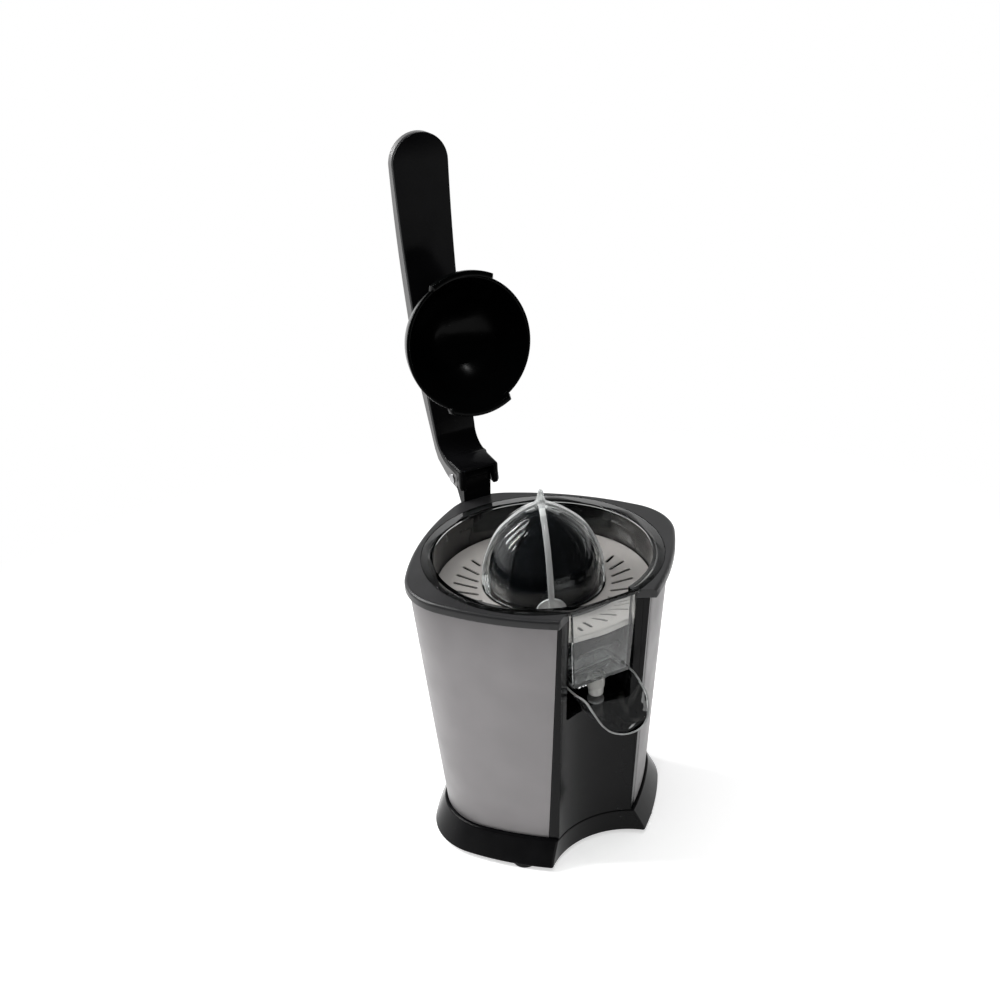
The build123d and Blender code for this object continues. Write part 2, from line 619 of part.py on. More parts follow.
# Small cone on the shaft's hexagon
HEX_R = 3.9
SMALL_R = 33.0
SMALL_TOP = 213.5
SMALL_SHOULDER = 180.0
HUB_R = 7.0
HUB_LOW = 168.0
SMALL_DOME = [(28.5, SMALL_SHOULDER), (26.0, 191), (19.0, 204), (9.0, 212), (4.0, SMALL_TOP)]
with BuildPart() as small_cone:
    with BuildSketch(Plane.XZ):
        with BuildLine():
            Polyline(SMALL_DOME[0], (SMALL_R, SMALL_SHOULDER), (SMALL_R, CONE_FOOT + 0.8),
                     (SMALL_R - 2, CONE_FOOT + 0.8), (SMALL_R - 2, SMALL_SHOULDER - 2),
                     (26.5, SMALL_SHOULDER - 2), (16.5, 204), (HUB_R, 206), (HUB_R, HUB_LOW), (0, HUB_LOW),
                     (0, SMALL_TOP), SMALL_DOME[-1])
            Spline(*SMALL_DOME)
        make_face()
    revolve()
    for turn in range(0, 360, 45):
        with BuildSketch(Plane.XZ.rotated((0, 0, turn + CONE_TURN))):
            with BuildLine():
                Line((4, SMALL_TOP), (4, SMALL_SHOULDER))
                Line((4, SMALL_SHOULDER), (30.0, SMALL_SHOULDER))
                Spline((30.0, SMALL_SHOULDER), (27.5, 191.5), (20.3, 205.2), (9.8, 213.2))
                Line((9.8, 213.2), (4, SMALL_TOP))
            make_face()
        extrude(amount=0.8, both=True)
    rod(25, 0, 0, HUB_LOW - 8, SMALL_SHOULDER - 2, mode=Mode.SUBTRACT)
    rod(HUB_R, 0, 0, HUB_LOW, SMALL_SHOULDER - 1.5)
    with BuildSketch(Plane.XY.offset(HUB_LOW)):
        RegularPolygon(HEX_R + 0.1, 6)
    extrude(amount=SHAFT_TOP + 2 - HUB_LOW, mode=Mode.SUBTRACT)
small_cone.part.label = "small_cone"
export_step(small_cone.part, "parts/small_cone.step")

# Large clear cone over the small one: dome, four ribs with half-round feet, and the spike
LARGE_DOME = [(CONE_R, CONE_FOOT), (35.8, 178), (33.5, 190), (25.6, 206), (13.0, 217.0), (3.4, 221.5)]
LARGE_INSIDE = [(34.0, CONE_FOOT), (33.8, 181), (31.2, 190.5), (23.8, 204.6), (12.0, 214.6), (4.5, 217.0)]
RIB_OUT = 1.1
PAD_R = 8.5
with BuildPart() as large_cone:
    with BuildSketch(Plane.XZ):
        with BuildLine():
            Spline(*LARGE_DOME)
            Polyline(LARGE_DOME[-1], (2.0, SPIKE_TIP - 1.6), (1.0, SPIKE_TIP), (0, SPIKE_TIP),
                     (0, SMALL_TOP), (4.5, SMALL_TOP), LARGE_INSIDE[-1])
            Spline(*LARGE_INSIDE)
            Line(LARGE_INSIDE[0], LARGE_DOME[0])
        make_face()
    revolve()
    for turn in range(0, 360, 90):
        rib_plane = Plane.XZ.rotated((0, 0, turn + CONE_TURN))
        with BuildSketch(rib_plane):
            with BuildLine():
                Polyline((2.2, 226), (2.2, 219.5), (12, 215.5), (24, 205), (31.6, 190.5), (34.2, 181),
                         (34.5, 171), (CONE_R + 0.4, 171), (CONE_R + 0.2, 178))
                Spline((CONE_R + 0.2, 178), (33.5 + RIB_OUT, 190.6), (25.6 + RIB_OUT, 206.8),
                       (13.0 + RIB_OUT, 218.2), (3.9, 223.4))
                Line((3.9, 223.4), (2.2, 226))
            make_face()
        extrude(amount=0.9, both=True)
        foot_plane = Plane(origin=(0, 0, CONE_FOOT), x_dir=-rib_plane.z_dir, z_dir=rib_plane.x_dir)
        with BuildSketch(foot_plane.offset(34.3)):
            with BuildLine():
                CenterArc((0, 0), PAD_R, 0, 180)
                Line((-PAD_R, 0), (PAD_R, 0))
            make_face()
        extrude(amount=2.5)
    with BuildSketch(Plane.XY.offset(CONE_FOOT)):
        Circle(STRAINER_R)
        Circle(STRAINER_HOLE_R - 0.4, mode=Mode.SUBTRACT)
    extrude(amount=12, mode=Mode.SUBTRACT)
large_cone.part.label = "large_cone"
export_step(large_cone.part, "parts/large_cone.step")


# Spout: a tray on a rod whose walls fall towards its round tip, with a plug pad under the nozzle
def spout_block(inset, floor_lift, mode=Mode.ADD):
    """The spout's solid form: its side view and its plan crossed; the inside form stays open on top."""
    open_top = 20 * (inset > 0)
    half = SPOUT_X - inset
    back = -42.6 - inset
    tip_mid = SPOUT_TIP_Y + SPOUT_TIP_LENGTH
    with BuildSketch(Plane.YZ) as side_view:
        Polygon(
            (back, 134 + open_top), (-49.5, 138.6 + open_top), (-64.5, 137.0 + open_top),
            (SPOUT_TIP_Y, SPOUT_TIP_Z + open_top), (SPOUT_TIP_Y, SPOUT_TIP_Z), (-96.6, 116.6 + floor_lift),
            (-92.5, 114.0 + floor_lift), (-86, 113.1 + floor_lift), (-50, 115.6 + floor_lift),
            (back, 120 + floor_lift),
            align=None,
        )
    with BuildSketch(Plane.XY.offset(100)) as plan:
        with BuildLine():
            Polyline((-half, tip_mid), (-half, back), (half, back), (half, tip_mid))
            EllipticalCenterArc((0, tip_mid), half, SPOUT_TIP_LENGTH - inset, start_angle=180, arc_size=180)
        make_face()
    side = extrude(side_view.sketch, amount=40, both=True, mode=Mode.PRIVATE)
    tray = extrude(plan.sketch, amount=70, mode=Mode.PRIVATE)
    add(side & tray, mode=mode)


with BuildPart() as spout:
    spout_block(0, 0)
    spout_block(SPOUT_T, SPOUT_T, mode=Mode.SUBTRACT)
    cross_pin(ROD_R + RUN, SPOUT_PIVOT_Y, SPOUT_PIVOT_Z, 40, mode=Mode.SUBTRACT)
spout.part.label = "spout"
export_step(spout.part, "parts/spout.step")

PLUG_PLANE = Plane(origin=(0, NOZZLE_Y + 0.4, 116.7), x_dir=(1, 0, 0), z_dir=(0, -3, 43))
with BuildPart() as spout_plug:
    with BuildSketch(PLUG_PLANE):
        Circle(5.0)
    extrude(amount=1.4)
spout_plug.part.label = "spout_plug"
export_step(spout_plug.part, "parts/spout_plug.step")

with BuildPart() as spout_rod:
    cross_pin(ROD_R, SPOUT_PIVOT_Y, SPOUT_PIVOT_Z, BAY_X + BAY_T)
spout_rod.part.label = "spout_rod"
export_step(spout_rod.part, "parts/spout_rod.step")


# Gears
def gear(module, teeth, z_low, height, x=0.0, y=0.0, turn=0.0):
    """A spur gear with straight-flanked teeth and some backlash."""
    pitch_r = module * teeth / 2
    root_r = pitch_r - 1.2 * module
    tip_r = pitch_r + 0.9 * module
    pitch_half = 0.25 * pi * module * TOOTH_FILL
    slope = tan(radians(20))
    root_half = pitch_half + slope * 1.1 * module
    tip_half = pitch_half - slope * 0.9 * module
    with BuildSketch(Plane((x, y, z_low))) as profile:
        Circle(root_r)
        with PolarLocations(root_r - 0.3 * module, teeth, turn):
            Polygon((0, -root_half), (tip_r - root_r + 0.3 * module, -tip_half),
                    (tip_r - root_r + 0.3 * module, tip_half), (0, root_half), align=None)
    extrude(profile.sketch, amount=height)


with BuildPart() as output_gear:
    gear(MODULE_SLOW, OUTPUT_TEETH, GEAR_Z, GEAR_T)
    rod(9, 0, 0, GEAR_Z, GEAR_Z + GEAR_T + 4)
    rod(SHAFT_R, 0, 0, GEAR_Z - 1, GEAR_Z + 20, mode=Mode.SUBTRACT)
    with BuildSketch(Plane.XY.offset(GEAR_Z)):
        with PolarLocations(19, 6):
            Circle(5)
    extrude(amount=GEAR_T, mode=Mode.SUBTRACT)
output_gear.part.label = "output_gear"
export_step(output_gear.part, "parts/output_gear.step")

AXLE_R = 2.0
LARGE_Z = 115.5
with BuildPart() as idler_gear:
    gear(MODULE_SLOW, IDLER_SMALL_TEETH, 99, LARGE_Z - 99, IDLER_X, IDLER_Y, 15)
    gear(MODULE_FAST, IDLER_LARGE_TEETH, LARGE_Z, 5, IDLER_X, IDLER_Y)
    rod(AXLE_R + RUN, IDLER_X, IDLER_Y, 90, 125, mode=Mode.SUBTRACT)
idler_gear.part.label = "idler_gear"
export_step(idler_gear.part, "parts/idler_gear.step")

with BuildPart() as idler_axle:
    rod(AXLE_R, IDLER_X, IDLER_Y, PLATE_Z, COVER_Z + PLATE_T)
idler_axle.part.label = "idler_axle"
export_step(idler_axle.part, "parts/idler_axle.step")

MOTOR_SHAFT_R = 1.6
with BuildPart() as motor_pinion:
    gear(MODULE_FAST, PINION_TEETH, LARGE_Z - 0.5, 6, MOTOR_X, MOTOR_Y, 24)
    rod(MOTOR_SHAFT_R, MOTOR_X, MOTOR_Y, 110, 125, mode=Mode.SUBTRACT)
motor_pinion.part.label = "motor_pinion"
export_step(motor_pinion.part, "parts/motor_pinion.step")

# Motor
MOTOR_LOW = 34.0
CORE_R = 12.5
with BuildPart() as motor_can:
    rod(MOTOR_R, MOTOR_X, MOTOR_Y, MOTOR_LOW, PLATE_Z)
    rod(MOTOR_R - 1.4, MOTOR_X, MOTOR_Y, MOTOR_LOW - 1, PLATE_Z - 1.6, mode=Mode.SUBTRACT)
    rod(MOTOR_SHAFT_R + RUN, MOTOR_X, MOTOR_Y, PLATE_Z - 3, PLATE_Z + 1, mode=Mode.SUBTRACT)
motor_can.part.label = "motor_can"
export_step(motor_can.part, "parts/motor_can.step")

with BuildPart() as motor_end_cap:
    rod(MOTOR_R, MOTOR_X, MOTOR_Y, MOTOR_LOW - 4, MOTOR_LOW)
    rod(MOTOR_SHAFT_R + RUN, MOTOR_X, MOTOR_Y, MOTOR_LOW - 3, MOTOR_LOW + 1, mode=Mode.SUBTRACT)
motor_end_cap.part.label = "motor_end_cap"
export_step(motor_end_cap.part, "parts/motor_end_cap.step")

with BuildPart() as motor_magnets:
    rod(MOTOR_R - 1.6, MOTOR_X, MOTOR_Y, MOTOR_LOW + 12, PLATE_Z - 8)
    rod(CORE_R + 0.8, MOTOR_X, MOTOR_Y, MOTOR_LOW, PLATE_Z, mode=Mode.SUBTRACT)
    with Locations((MOTOR_X, MOTOR_Y, (MOTOR_LOW + PLATE_Z) / 2)):
        Box(50, 10, 70, mode=Mode.SUBTRACT)
motor_magnets.part.label = "motor_magnets"
export_step(motor_magnets.part, "parts/motor_magnets.step")

with BuildPart() as motor_rotor:
    rod(CORE_R, MOTOR_X, MOTOR_Y, MOTOR_LOW + 14, PLATE_Z - 10)
    with BuildSketch(Plane((MOTOR_X, MOTOR_Y, MOTOR_LOW + 14))):
        with PolarLocations(CORE_R - 2, 7):
            Rectangle(6, 2.2)
    extrude(amount=PLATE_Z - 10 - MOTOR_LOW - 14, mode=Mode.SUBTRACT)
    rod(5, MOTOR_X, MOTOR_Y, MOTOR_LOW + 4, MOTOR_LOW + 12)
    rod(MOTOR_SHAFT_R, MOTOR_X, MOTOR_Y, MOTOR_LOW - 2.5, LARGE_Z + 5.5)
motor_rotor.part.label = "motor_rotor"
export_step(motor_rotor.part, "parts/motor_rotor.step")

# Gearbox plates that carry the shaft, the idler and the motor
BUSH_R = 5.5
with BuildPart() as gearbox_base:
    with BuildSketch(Plane.XY.offset(PLATE_Z)):
        Circle(24)
        with Locations((MOTOR_X, MOTOR_Y)):
            Circle(MOTOR_R)
        for x, y in POST_PLACES:
            with Locations((x, y)):
                Circle(6)
        make_hull()
    extrude(amount=PLATE_T)
    rod(8, 0, 0, PLATE_Z - 10, PLATE_Z)
    rod(BUSH_R, 0, 0, PLATE_Z - 11, PLATE_Z + 4, mode=Mode.SUBTRACT)
    rod(AXLE_R, IDLER_X, IDLER_Y, PLATE_Z - 1, PLATE_Z + 4, mode=Mode.SUBTRACT)
    rod(MOTOR_SHAFT_R + 1, MOTOR_X, MOTOR_Y, PLATE_Z - 1, PLATE_Z + 4, mode=Mode.SUBTRACT)
    for x, y in POST_PLACES:
        rod(BOSS_R, x, y, PLATE_Z + PLATE_T, COVER_Z)
        rod(SCREW_HOLE_R, x, y, PLATE_Z - 1, COVER_Z + 1, mode=Mode.SUBTRACT)
gearbox_base.part.label = "gearbox_base"
export_step(gearbox_base.part, "parts/gearbox_base.step")

with BuildPart() as gearbox_cover:
    with BuildSketch(Plane.XY.offset(COVER_Z)):
        Circle(14)
        with Locations((IDLER_X, IDLER_Y)):
            Circle(8)
        for x, y in POST_PLACES:
            with Locations((x, y)):
                Circle(5)
        make_hull()
    extrude(amount=PLATE_T)
    rod(COLLAR_R + 0.3, 0, 0, COVER_Z - 1, COVER_Z + 4, mode=Mode.SUBTRACT)
    rod(AXLE_R, IDLER_X, IDLER_Y, COVER_Z - 1, COVER_Z + 4, mode=Mode.SUBTRACT)
    for x, y in POST_PLACES:
        rod(SCREW_HOLE_R, x, y, COVER_Z - 1, COVER_Z + 4, mode=Mode.SUBTRACT)
gearbox_cover.part.label = "gearbox_cover"
export_step(gearbox_cover.part, "parts/gearbox_cover.step")

with BuildPart() as gearbox_screws:
    for x, y in POST_PLACES:
        rod(3.0, x, y, PLATE_Z - 2, PLATE_Z)
        rod(SCREW_R, x, y, PLATE_Z, COVER_Z + 12)
gearbox_screws.part.label = "gearbox_screws"
export_step(gearbox_screws.part, "parts/gearbox_screws.step")

# Drive shaft with its bushes, seal and ring
SHAFT_LOW = 76.0
HEX_LOW = 164.0
with BuildPart() as drive_shaft:
    rod(SHAFT_R, 0, 0, SHAFT_LOW, HEX_LOW)
    with BuildSketch(Plane.XY.offset(HEX_LOW)):
        RegularPolygon(HEX_R, 6)
    extrude(amount=SHAFT_TOP - HEX_LOW)
drive_shaft.part.label = "drive_shaft"
export_step(drive_shaft.part, "parts/drive_shaft.step")

with BuildPart() as retaining_ring:
    rod(6.5, 0, 0, SHAFT_LOW + 2.4, SHAFT_LOW + 3.6)
    rod(SHAFT_R, 0, 0, SHAFT_LOW, SHAFT_LOW + 6, mode=Mode.SUBTRACT)
retaining_ring.part.label = "retaining_ring"
export_step(retaining_ring.part, "parts/retaining_ring.step")

with BuildPart() as lower_bush:
    rod(BUSH_R, 0, 0, PLATE_Z - 10, PLATE_Z + PLATE_T)
    rod(SHAFT_R + RUN, 0, 0, PLATE_Z - 11, PLATE_Z + 4, mode=Mode.SUBTRACT)
lower_bush.part.label = "lower_bush"
export_step(lower_bush.part, "parts/lower_bush.step")

with BuildPart() as upper_bush:
    rod(BUSH_HIGH_R, 0, 0, DECK_TOP - 15, DECK_TOP + 3)
    rod(SHAFT_R + RUN, 0, 0, DECK_TOP - 16, DECK_TOP + 4, mode=Mode.SUBTRACT)
upper_bush.part.label = "upper_bush"
export_step(upper_bush.part, "parts/upper_bush.step")

with BuildPart() as shaft_seal:
    rod(BUSH_HIGH_R, 0, 0, DECK_TOP + 3, DECK_TOP + 6)
    rod(SHAFT_R + RUN, 0, 0, DECK_TOP + 2, DECK_TOP + 7, mode=Mode.SUBTRACT)
shaft_seal.part.label = "shaft_seal"
export_step(shaft_seal.part, "parts/shaft_seal.step")

# Return spring, thrust washer and the switch that the pressed shaft works
WASHER_LOW = 102.2
SPRING_R = 6.6
WIRE_R = 0.6
SPRING_LOW = PLATE_Z + PLATE_T + WIRE_R
SPRING_TURNS = 4
spring_rise = WASHER_LOW - WIRE_R - SPRING_LOW
with BuildPart() as return_spring:
    with BuildLine(Plane.XY.offset(SPRING_LOW)):
        coil = Helix(spring_rise / SPRING_TURNS, spring_rise, SPRING_R)
    with BuildSketch(Plane(coil @ 0, z_dir=coil % 0)):
        Circle(WIRE_R)
    sweep(is_frenet=True)
return_spring.part.label = "return_spring"
export_step(return_spring.part, "parts/return_spring.step")

SWITCH_Y = -22.0
with BuildPart() as thrust_washer:
    rod(11, 0, 0, WASHER_LOW, GEAR_Z)
    block(6, SWITCH_Y - 3, 0, WASHER_LOW, GEAR_Z - 0.3)
    rod(SHAFT_R + RUN, 0, 0, WASHER_LOW - 1, GEAR_Z + 1, mode=Mode.SUBTRACT)
thrust_washer.part.label = "thrust_washer"
export_step(thrust_washer.part, "parts/thrust_washer.step")

PLUNGER_R = 1.4
with BuildPart() as switch_body:
    block(20, SWITCH_Y - 3.2, SWITCH_Y + 3.2, PLATE_Z + PLATE_T, PLATE_Z + PLATE_T + 6.4)
    rod(PLUNGER_R + RUN, 0, SWITCH_Y, PLATE_Z + PLATE_T + 1, PLATE_Z + 20, mode=Mode.SUBTRACT)
switch_body.part.label = "switch_body"
export_step(switch_body.part, "parts/switch_body.step")

with BuildPart() as switch_plunger:
    rod(PLUNGER_R, 0, SWITCH_Y, WASHER_LOW - 5.5, WASHER_LOW)
switch_plunger.part.label = "switch_plunger"
export_step(switch_plunger.part, "parts/switch_plunger.step")
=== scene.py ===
# %% [markdown]
# # A lever citrus press
# This is an electric press for orange and lemon halves. A clear cone turns in a clear bowl, a steel strainer holds
# the pips back, and a cup on a hinged arm pushes the fruit down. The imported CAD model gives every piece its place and
# its joints, and this lesson dresses it: the pieces that the eye rests on are modelled again with soft edges, and
# every piece gets a finish.

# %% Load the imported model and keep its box
from math import acos, atan2, cos, pi, radians, sin, sqrt

import bmesh
import bpy
from mathutils import Matrix, Vector
from mathutils.kdtree import KDTree


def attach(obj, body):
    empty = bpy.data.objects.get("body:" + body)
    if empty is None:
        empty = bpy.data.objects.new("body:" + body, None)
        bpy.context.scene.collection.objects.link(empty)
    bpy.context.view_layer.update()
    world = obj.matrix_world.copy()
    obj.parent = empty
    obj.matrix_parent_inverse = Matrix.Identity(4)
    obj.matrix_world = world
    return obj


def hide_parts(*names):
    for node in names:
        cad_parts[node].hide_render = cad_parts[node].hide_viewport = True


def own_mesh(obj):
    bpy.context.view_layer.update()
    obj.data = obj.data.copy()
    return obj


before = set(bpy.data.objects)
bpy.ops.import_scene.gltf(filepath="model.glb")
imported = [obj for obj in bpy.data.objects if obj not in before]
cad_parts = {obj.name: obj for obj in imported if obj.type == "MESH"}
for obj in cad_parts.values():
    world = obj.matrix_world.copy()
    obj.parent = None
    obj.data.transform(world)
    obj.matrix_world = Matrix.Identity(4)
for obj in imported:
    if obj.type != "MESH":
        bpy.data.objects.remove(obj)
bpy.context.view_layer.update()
MM = 0.001
scene = bpy.context.scene
scene.view_settings.view_transform = "Standard"

# %% [markdown]
# ## Camera
# The photograph was taken from the front left, a little above the bowl. The place, the turn and the focal length were
# found by laying known points of the press over the same points of the photograph. A camera could be aimed with a
# Track To constraint, but the photograph also leans by three degrees, so its three axes are written out here.

# %% Camera
AZIMUTH, ELEVATION, ROLL = radians(-27.16), radians(27.03), radians(-3.04)
CAMERA_PLACE = Vector((-356.3, -642.2, 600.3)) * MM
SENSOR, LENS = 36, 50.4  # millimetres
backwards = Vector((sin(AZIMUTH) * cos(ELEVATION), -cos(AZIMUTH) * cos(ELEVATION), sin(ELEVATION)))
level_right = Vector((cos(AZIMUTH), sin(AZIMUTH), 0))
level_up = backwards.cross(level_right)
right = level_right * cos(ROLL) + level_up * sin(ROLL)
upwards = level_up * cos(ROLL) - level_right * sin(ROLL)

bpy.ops.object.select_all(action="DESELECT")
bpy.ops.object.camera_add()
camera = bpy.context.object
camera.matrix_world = Matrix((right, upwards, backwards)).transposed().to_4x4()
camera.location = CAMERA_PLACE
camera.data.sensor_width = SENSOR
camera.data.lens = LENS
camera.data.clip_start = 0.01
scene.camera = camera
print("camera at", [round(v, 3) for v in camera.location])

# %% [markdown]
# ## Studio
# The press stands on a white table in front of a white backdrop. The camera, glass and metal see that white at
# strength 1. In a studio the ceiling and the room behind the camera are dark, which keeps black plastic black, so
# mirror rays that look up or towards the front see little light. A window of three panes on the left draws streaks on
# the cone, a wide lamp under the ceiling fills the shadows, and a small bulb gives the cup its bright spot.

# %% White backdrop and dark room
world = bpy.data.worlds.new("studio")
scene.world = world
world.use_nodes = True
sky = world.node_tree
background = sky.nodes["Background"]


def math_in(tree, kind, first, second):
    """A Math node in a node tree, fed with two numbers or sockets."""
    node = tree.nodes.new("ShaderNodeMath")
    node.operation = kind
    for socket, value in zip(node.inputs, (first, second)):
        if isinstance(value, (int, float)):
            socket.default_value = value
        else:
            tree.links.new(value, socket)
    return node.outputs[0]


def soft_step(tree, value, start, end):
    """A soft step from 0 to 1 between two numbers, in a node tree."""
    node = tree.nodes.new("ShaderNodeMapRange")
    node.interpolation_type = "SMOOTHSTEP"
    node.inputs["From Min"].default_value = start
    node.inputs["From Max"].default_value = end
    tree.links.new(value, node.inputs["Value"])
    return node.outputs["Result"]


ROOM_LIGHT, DARK_ROOM = 0.32, 0.04
BACKDROP_START, BACKDROP_END = -0.1, 0.6  # of a direction's Y, from the front to the back
CEILING_START, CEILING_END = 0.25, 0.7  # of a direction's Z, from level to upwards
paths = sky.nodes.new("ShaderNodeLightPath")
place = sky.nodes.new("ShaderNodeTexCoord")
split = sky.nodes.new("ShaderNodeSeparateXYZ")
sky.links.new(place.outputs["Generated"], split.inputs[0])
behind = soft_step(sky, split.outputs["Y"], BACKDROP_START, BACKDROP_END)
low = math_in(sky, "SUBTRACT", 1.0, soft_step(sky, split.outputs["Z"], CEILING_START, CEILING_END))
backdrop = math_in(sky, "MAXIMUM", math_in(sky, "MULTIPLY", behind, low), DARK_ROOM)
by_camera = paths.outputs["Is Camera Ray"]
by_glass_or_gloss = math_in(sky, "MAXIMUM", paths.outputs["Is Glossy Ray"], paths.outputs["Is Transmission Ray"])
shown = math_in(sky, "MAXIMUM", by_camera, math_in(sky, "MULTIPLY", by_glass_or_gloss, backdrop))
any_seen = math_in(sky, "MAXIMUM", by_camera, by_glass_or_gloss)
lit = math_in(sky, "MULTIPLY", math_in(sky, "SUBTRACT", 1.0, any_seen), ROOM_LIGHT)
sky.links.new(math_in(sky, "ADD", shown, lit), background.inputs["Strength"])
background.inputs["Color"].default_value = (1, 1, 1, 1)
print("world nodes:", len(sky.nodes))

# %% Table
TABLE_SIZE, TABLE_GLOW = 8, 0.56
FADE_START, FADE_END = 0.25, 0.6  # metres from the middle
bpy.ops.object.select_all(action="DESELECT")
bpy.ops.mesh.primitive_plane_add(size=TABLE_SIZE, location=(0, 0, 0))
table = bpy.context.object
table.name = "table"
table_white = bpy.data.materials.new("table_white")
table_white.use_nodes = True
surface = table_white.node_tree
nodes, links = surface.nodes, surface.links
table_shader = nodes["Principled BSDF"]
table_shader.inputs["Base Color"].default_value = (0.8, 0.8, 0.8, 1)
table_shader.inputs["Roughness"].default_value = 0.9
table_shader.inputs["Specular IOR Level"].default_value = 0.0

table_paths = nodes.new("ShaderNodeLightPath")
looked_at = math_in(
    surface, "MAXIMUM", table_paths.outputs["Is Camera Ray"], table_paths.outputs["Is Glossy Ray"])
looked_at = math_in(surface, "MAXIMUM", looked_at, table_paths.outputs["Is Transmission Ray"])
near_glow, far_glow = nodes.new("ShaderNodeEmission"), nodes.new("ShaderNodeEmission")
links.new(math_in(surface, "MULTIPLY", looked_at, TABLE_GLOW), near_glow.inputs["Strength"])
links.new(looked_at, far_glow.inputs["Strength"])
lit_table = nodes.new("ShaderNodeAddShader")
links.new(table_shader.outputs[0], lit_table.inputs[0])
links.new(near_glow.outputs[0], lit_table.inputs[1])

# The table runs out into the plain white of the backdrop, well away from the shadow.
table_place, distance = nodes.new("ShaderNodeTexCoord"), nodes.new("ShaderNodeVectorMath")
distance.operation = "LENGTH"
links.new(table_place.outputs["Object"], distance.inputs[0])
far = soft_step(surface, distance.outputs["Value"], FADE_START, FADE_END)
whole_table = nodes.new("ShaderNodeMixShader")
links.new(far, whole_table.inputs["Fac"])
links.new(lit_table.outputs[0], whole_table.inputs[1])
links.new(far_glow.outputs[0], whole_table.inputs[2])
links.new(whole_table.outputs[0], nodes["Material Output"].inputs["Surface"])
table.data.materials.append(table_white)
print("table nodes:", len(nodes))

# %% Soft lamps


def soft_lamp(name, place, target, width, height, watts):
    """A rectangular studio lamp that looks at a point."""
    bpy.ops.object.select_all(action="DESELECT")
    bpy.ops.object.light_add(type="AREA", location=place)
    lamp = bpy.context.object
    lamp.name = name
    lamp.data.shape = "RECTANGLE"
    lamp.data.size, lamp.data.size_y = width, height
    lamp.data.energy = watts
    lamp.rotation_euler = (Vector(target) - Vector(place)).to_track_quat("-Z", "Y").to_euler()
    return lamp


WINDOW_X, WINDOW_Y, WINDOW_Z = -1.04, 0.48, 1.05
PANE_STEP_X, PANE_STEP_Y = 0.19, 0.23
PANE_WIDTH, PANE_HEIGHT, PANE_WATTS = 0.05, 1.0, 8.5
BODY_MIDDLE, CUP_MIDDLE = (0, 0, 0.2), (0, 0.1, 0.27)
lamps = []
for i in range(3):
    pane_place = (WINDOW_X + PANE_STEP_X * i, WINDOW_Y + PANE_STEP_Y * i, WINDOW_Z)
    lamps.append(soft_lamp("window_pane_%d" % i, pane_place, BODY_MIDDLE, PANE_WIDTH, PANE_HEIGHT, PANE_WATTS))
ceiling = soft_lamp("ceiling", (-0.1, -0.1, 1.7), BODY_MIDDLE, 1.2, 1.0, 9)
ceiling.visible_glossy = ceiling.visible_transmission = False
lamps.append(ceiling)
lamps.append(soft_lamp("bulb", (-0.07, -0.32, 1.49), CUP_MIDDLE, 0.04, 0.04, 1.6))
print("lamps:", [lamp.name for lamp in lamps])

# %% [markdown]
# ## Tools of the bench
# Every piece is made with the same few moves: a line drawn point by point, a line spun about an axis, a row of points
# pulled out into the next row, and one piece cut with another. They are written once here.

# %% Select, draw and spin


def put_down():
    """Leaves edit mode and lets go of everything."""
    if bpy.context.object and bpy.context.object.mode != "OBJECT":
        bpy.ops.object.mode_set(mode="OBJECT")
    bpy.ops.object.select_all(action="DESELECT")


def pick_up(piece):
    """Makes a piece the only one that is selected, and active."""
    put_down()
    piece.select_set(True)
    bpy.context.view_layer.objects.active = piece


def draw_line(name, points):
    """A line through points in millimetres, drawn one extruded point after another; stays in edit mode."""
    put_down()
    bpy.ops.mesh.primitive_plane_add(size=MM)
    piece = bpy.context.object
    piece.name = piece.data.name = name
    bpy.ops.object.mode_set(mode="EDIT")
    bpy.ops.mesh.merge(type="CENTER")
    bpy.ops.transform.translate(value=Vector(points[0]) * MM)
    for start, end in zip(points, points[1:]):
        step = (Vector(end) - Vector(start)) * MM
        bpy.ops.mesh.extrude_vertices_move(TRANSFORM_OT_translate={"value": step})
    bpy.ops.mesh.select_all(action="SELECT")
    return piece


def close_up():
    """Merges doubled points of the piece in edit mode and turns its faces outwards."""
    bpy.ops.mesh.select_all(action="SELECT")
    bpy.ops.mesh.remove_doubles(threshold=1e-6)
    bpy.ops.mesh.normals_make_consistent(inside=False)
    bpy.ops.object.mode_set(mode="OBJECT")


def turned(name, profile, steps=128):
    """A piece as from a lathe: a profile of (radius, height) spun about the upright axis."""
    piece = draw_line(name, [(r, 0, z) for r, z in profile])
    bpy.ops.mesh.spin(steps=steps, angle=2 * pi, center=(0, 0, 0), axis=(0, 0, 1))
    close_up()
    return piece


# %% Smooth profiles


def smooth_through(points, steps=6):
    """A soft curve through a few points, as a list of many."""
    padded = [points[0]] + list(points) + [points[-1]]
    curve = []
    for a, b, c, d in zip(padded, padded[1:], padded[2:], padded[3:]):
        for i in range(steps):
            t = i / steps
            weights = (
                -0.5 * t + t**2 - 0.5 * t**3,
                1 - 2.5 * t**2 + 1.5 * t**3,
                0.5 * t + 2 * t**2 - 1.5 * t**3,
                -0.5 * t**2 + 0.5 * t**3,
            )
            curve.append(tuple(sum(w * p[k] for w, p in zip(weights, (a, b, c, d))) for k in range(len(a))))
    return curve + [tuple(points[-1])]


def rounded(points, radius, steps=4, closed=False):
    """The same line with its corners rounded off by up to a radius."""
    count = len(points)
    line = []
    for i, corner in enumerate(points):
        if not closed and i in (0, count - 1):
            line.append(tuple(corner))
            continue
        here = Vector(corner)
        before, after = Vector(points[i - 1]) - here, Vector(points[(i + 1) % count]) - here
        reach = min(radius, 0.45 * before.length, 0.45 * after.length)
        start, end = here + before.normalized() * reach, here + after.normalized() * reach
        for k in range(steps + 1):
            t = k / steps
            line.append(tuple(start * (1 - t) ** 2 + here * (2 * t * (1 - t)) + end * t**2))
    return line


# %% Rows of points, cuts and soft edges


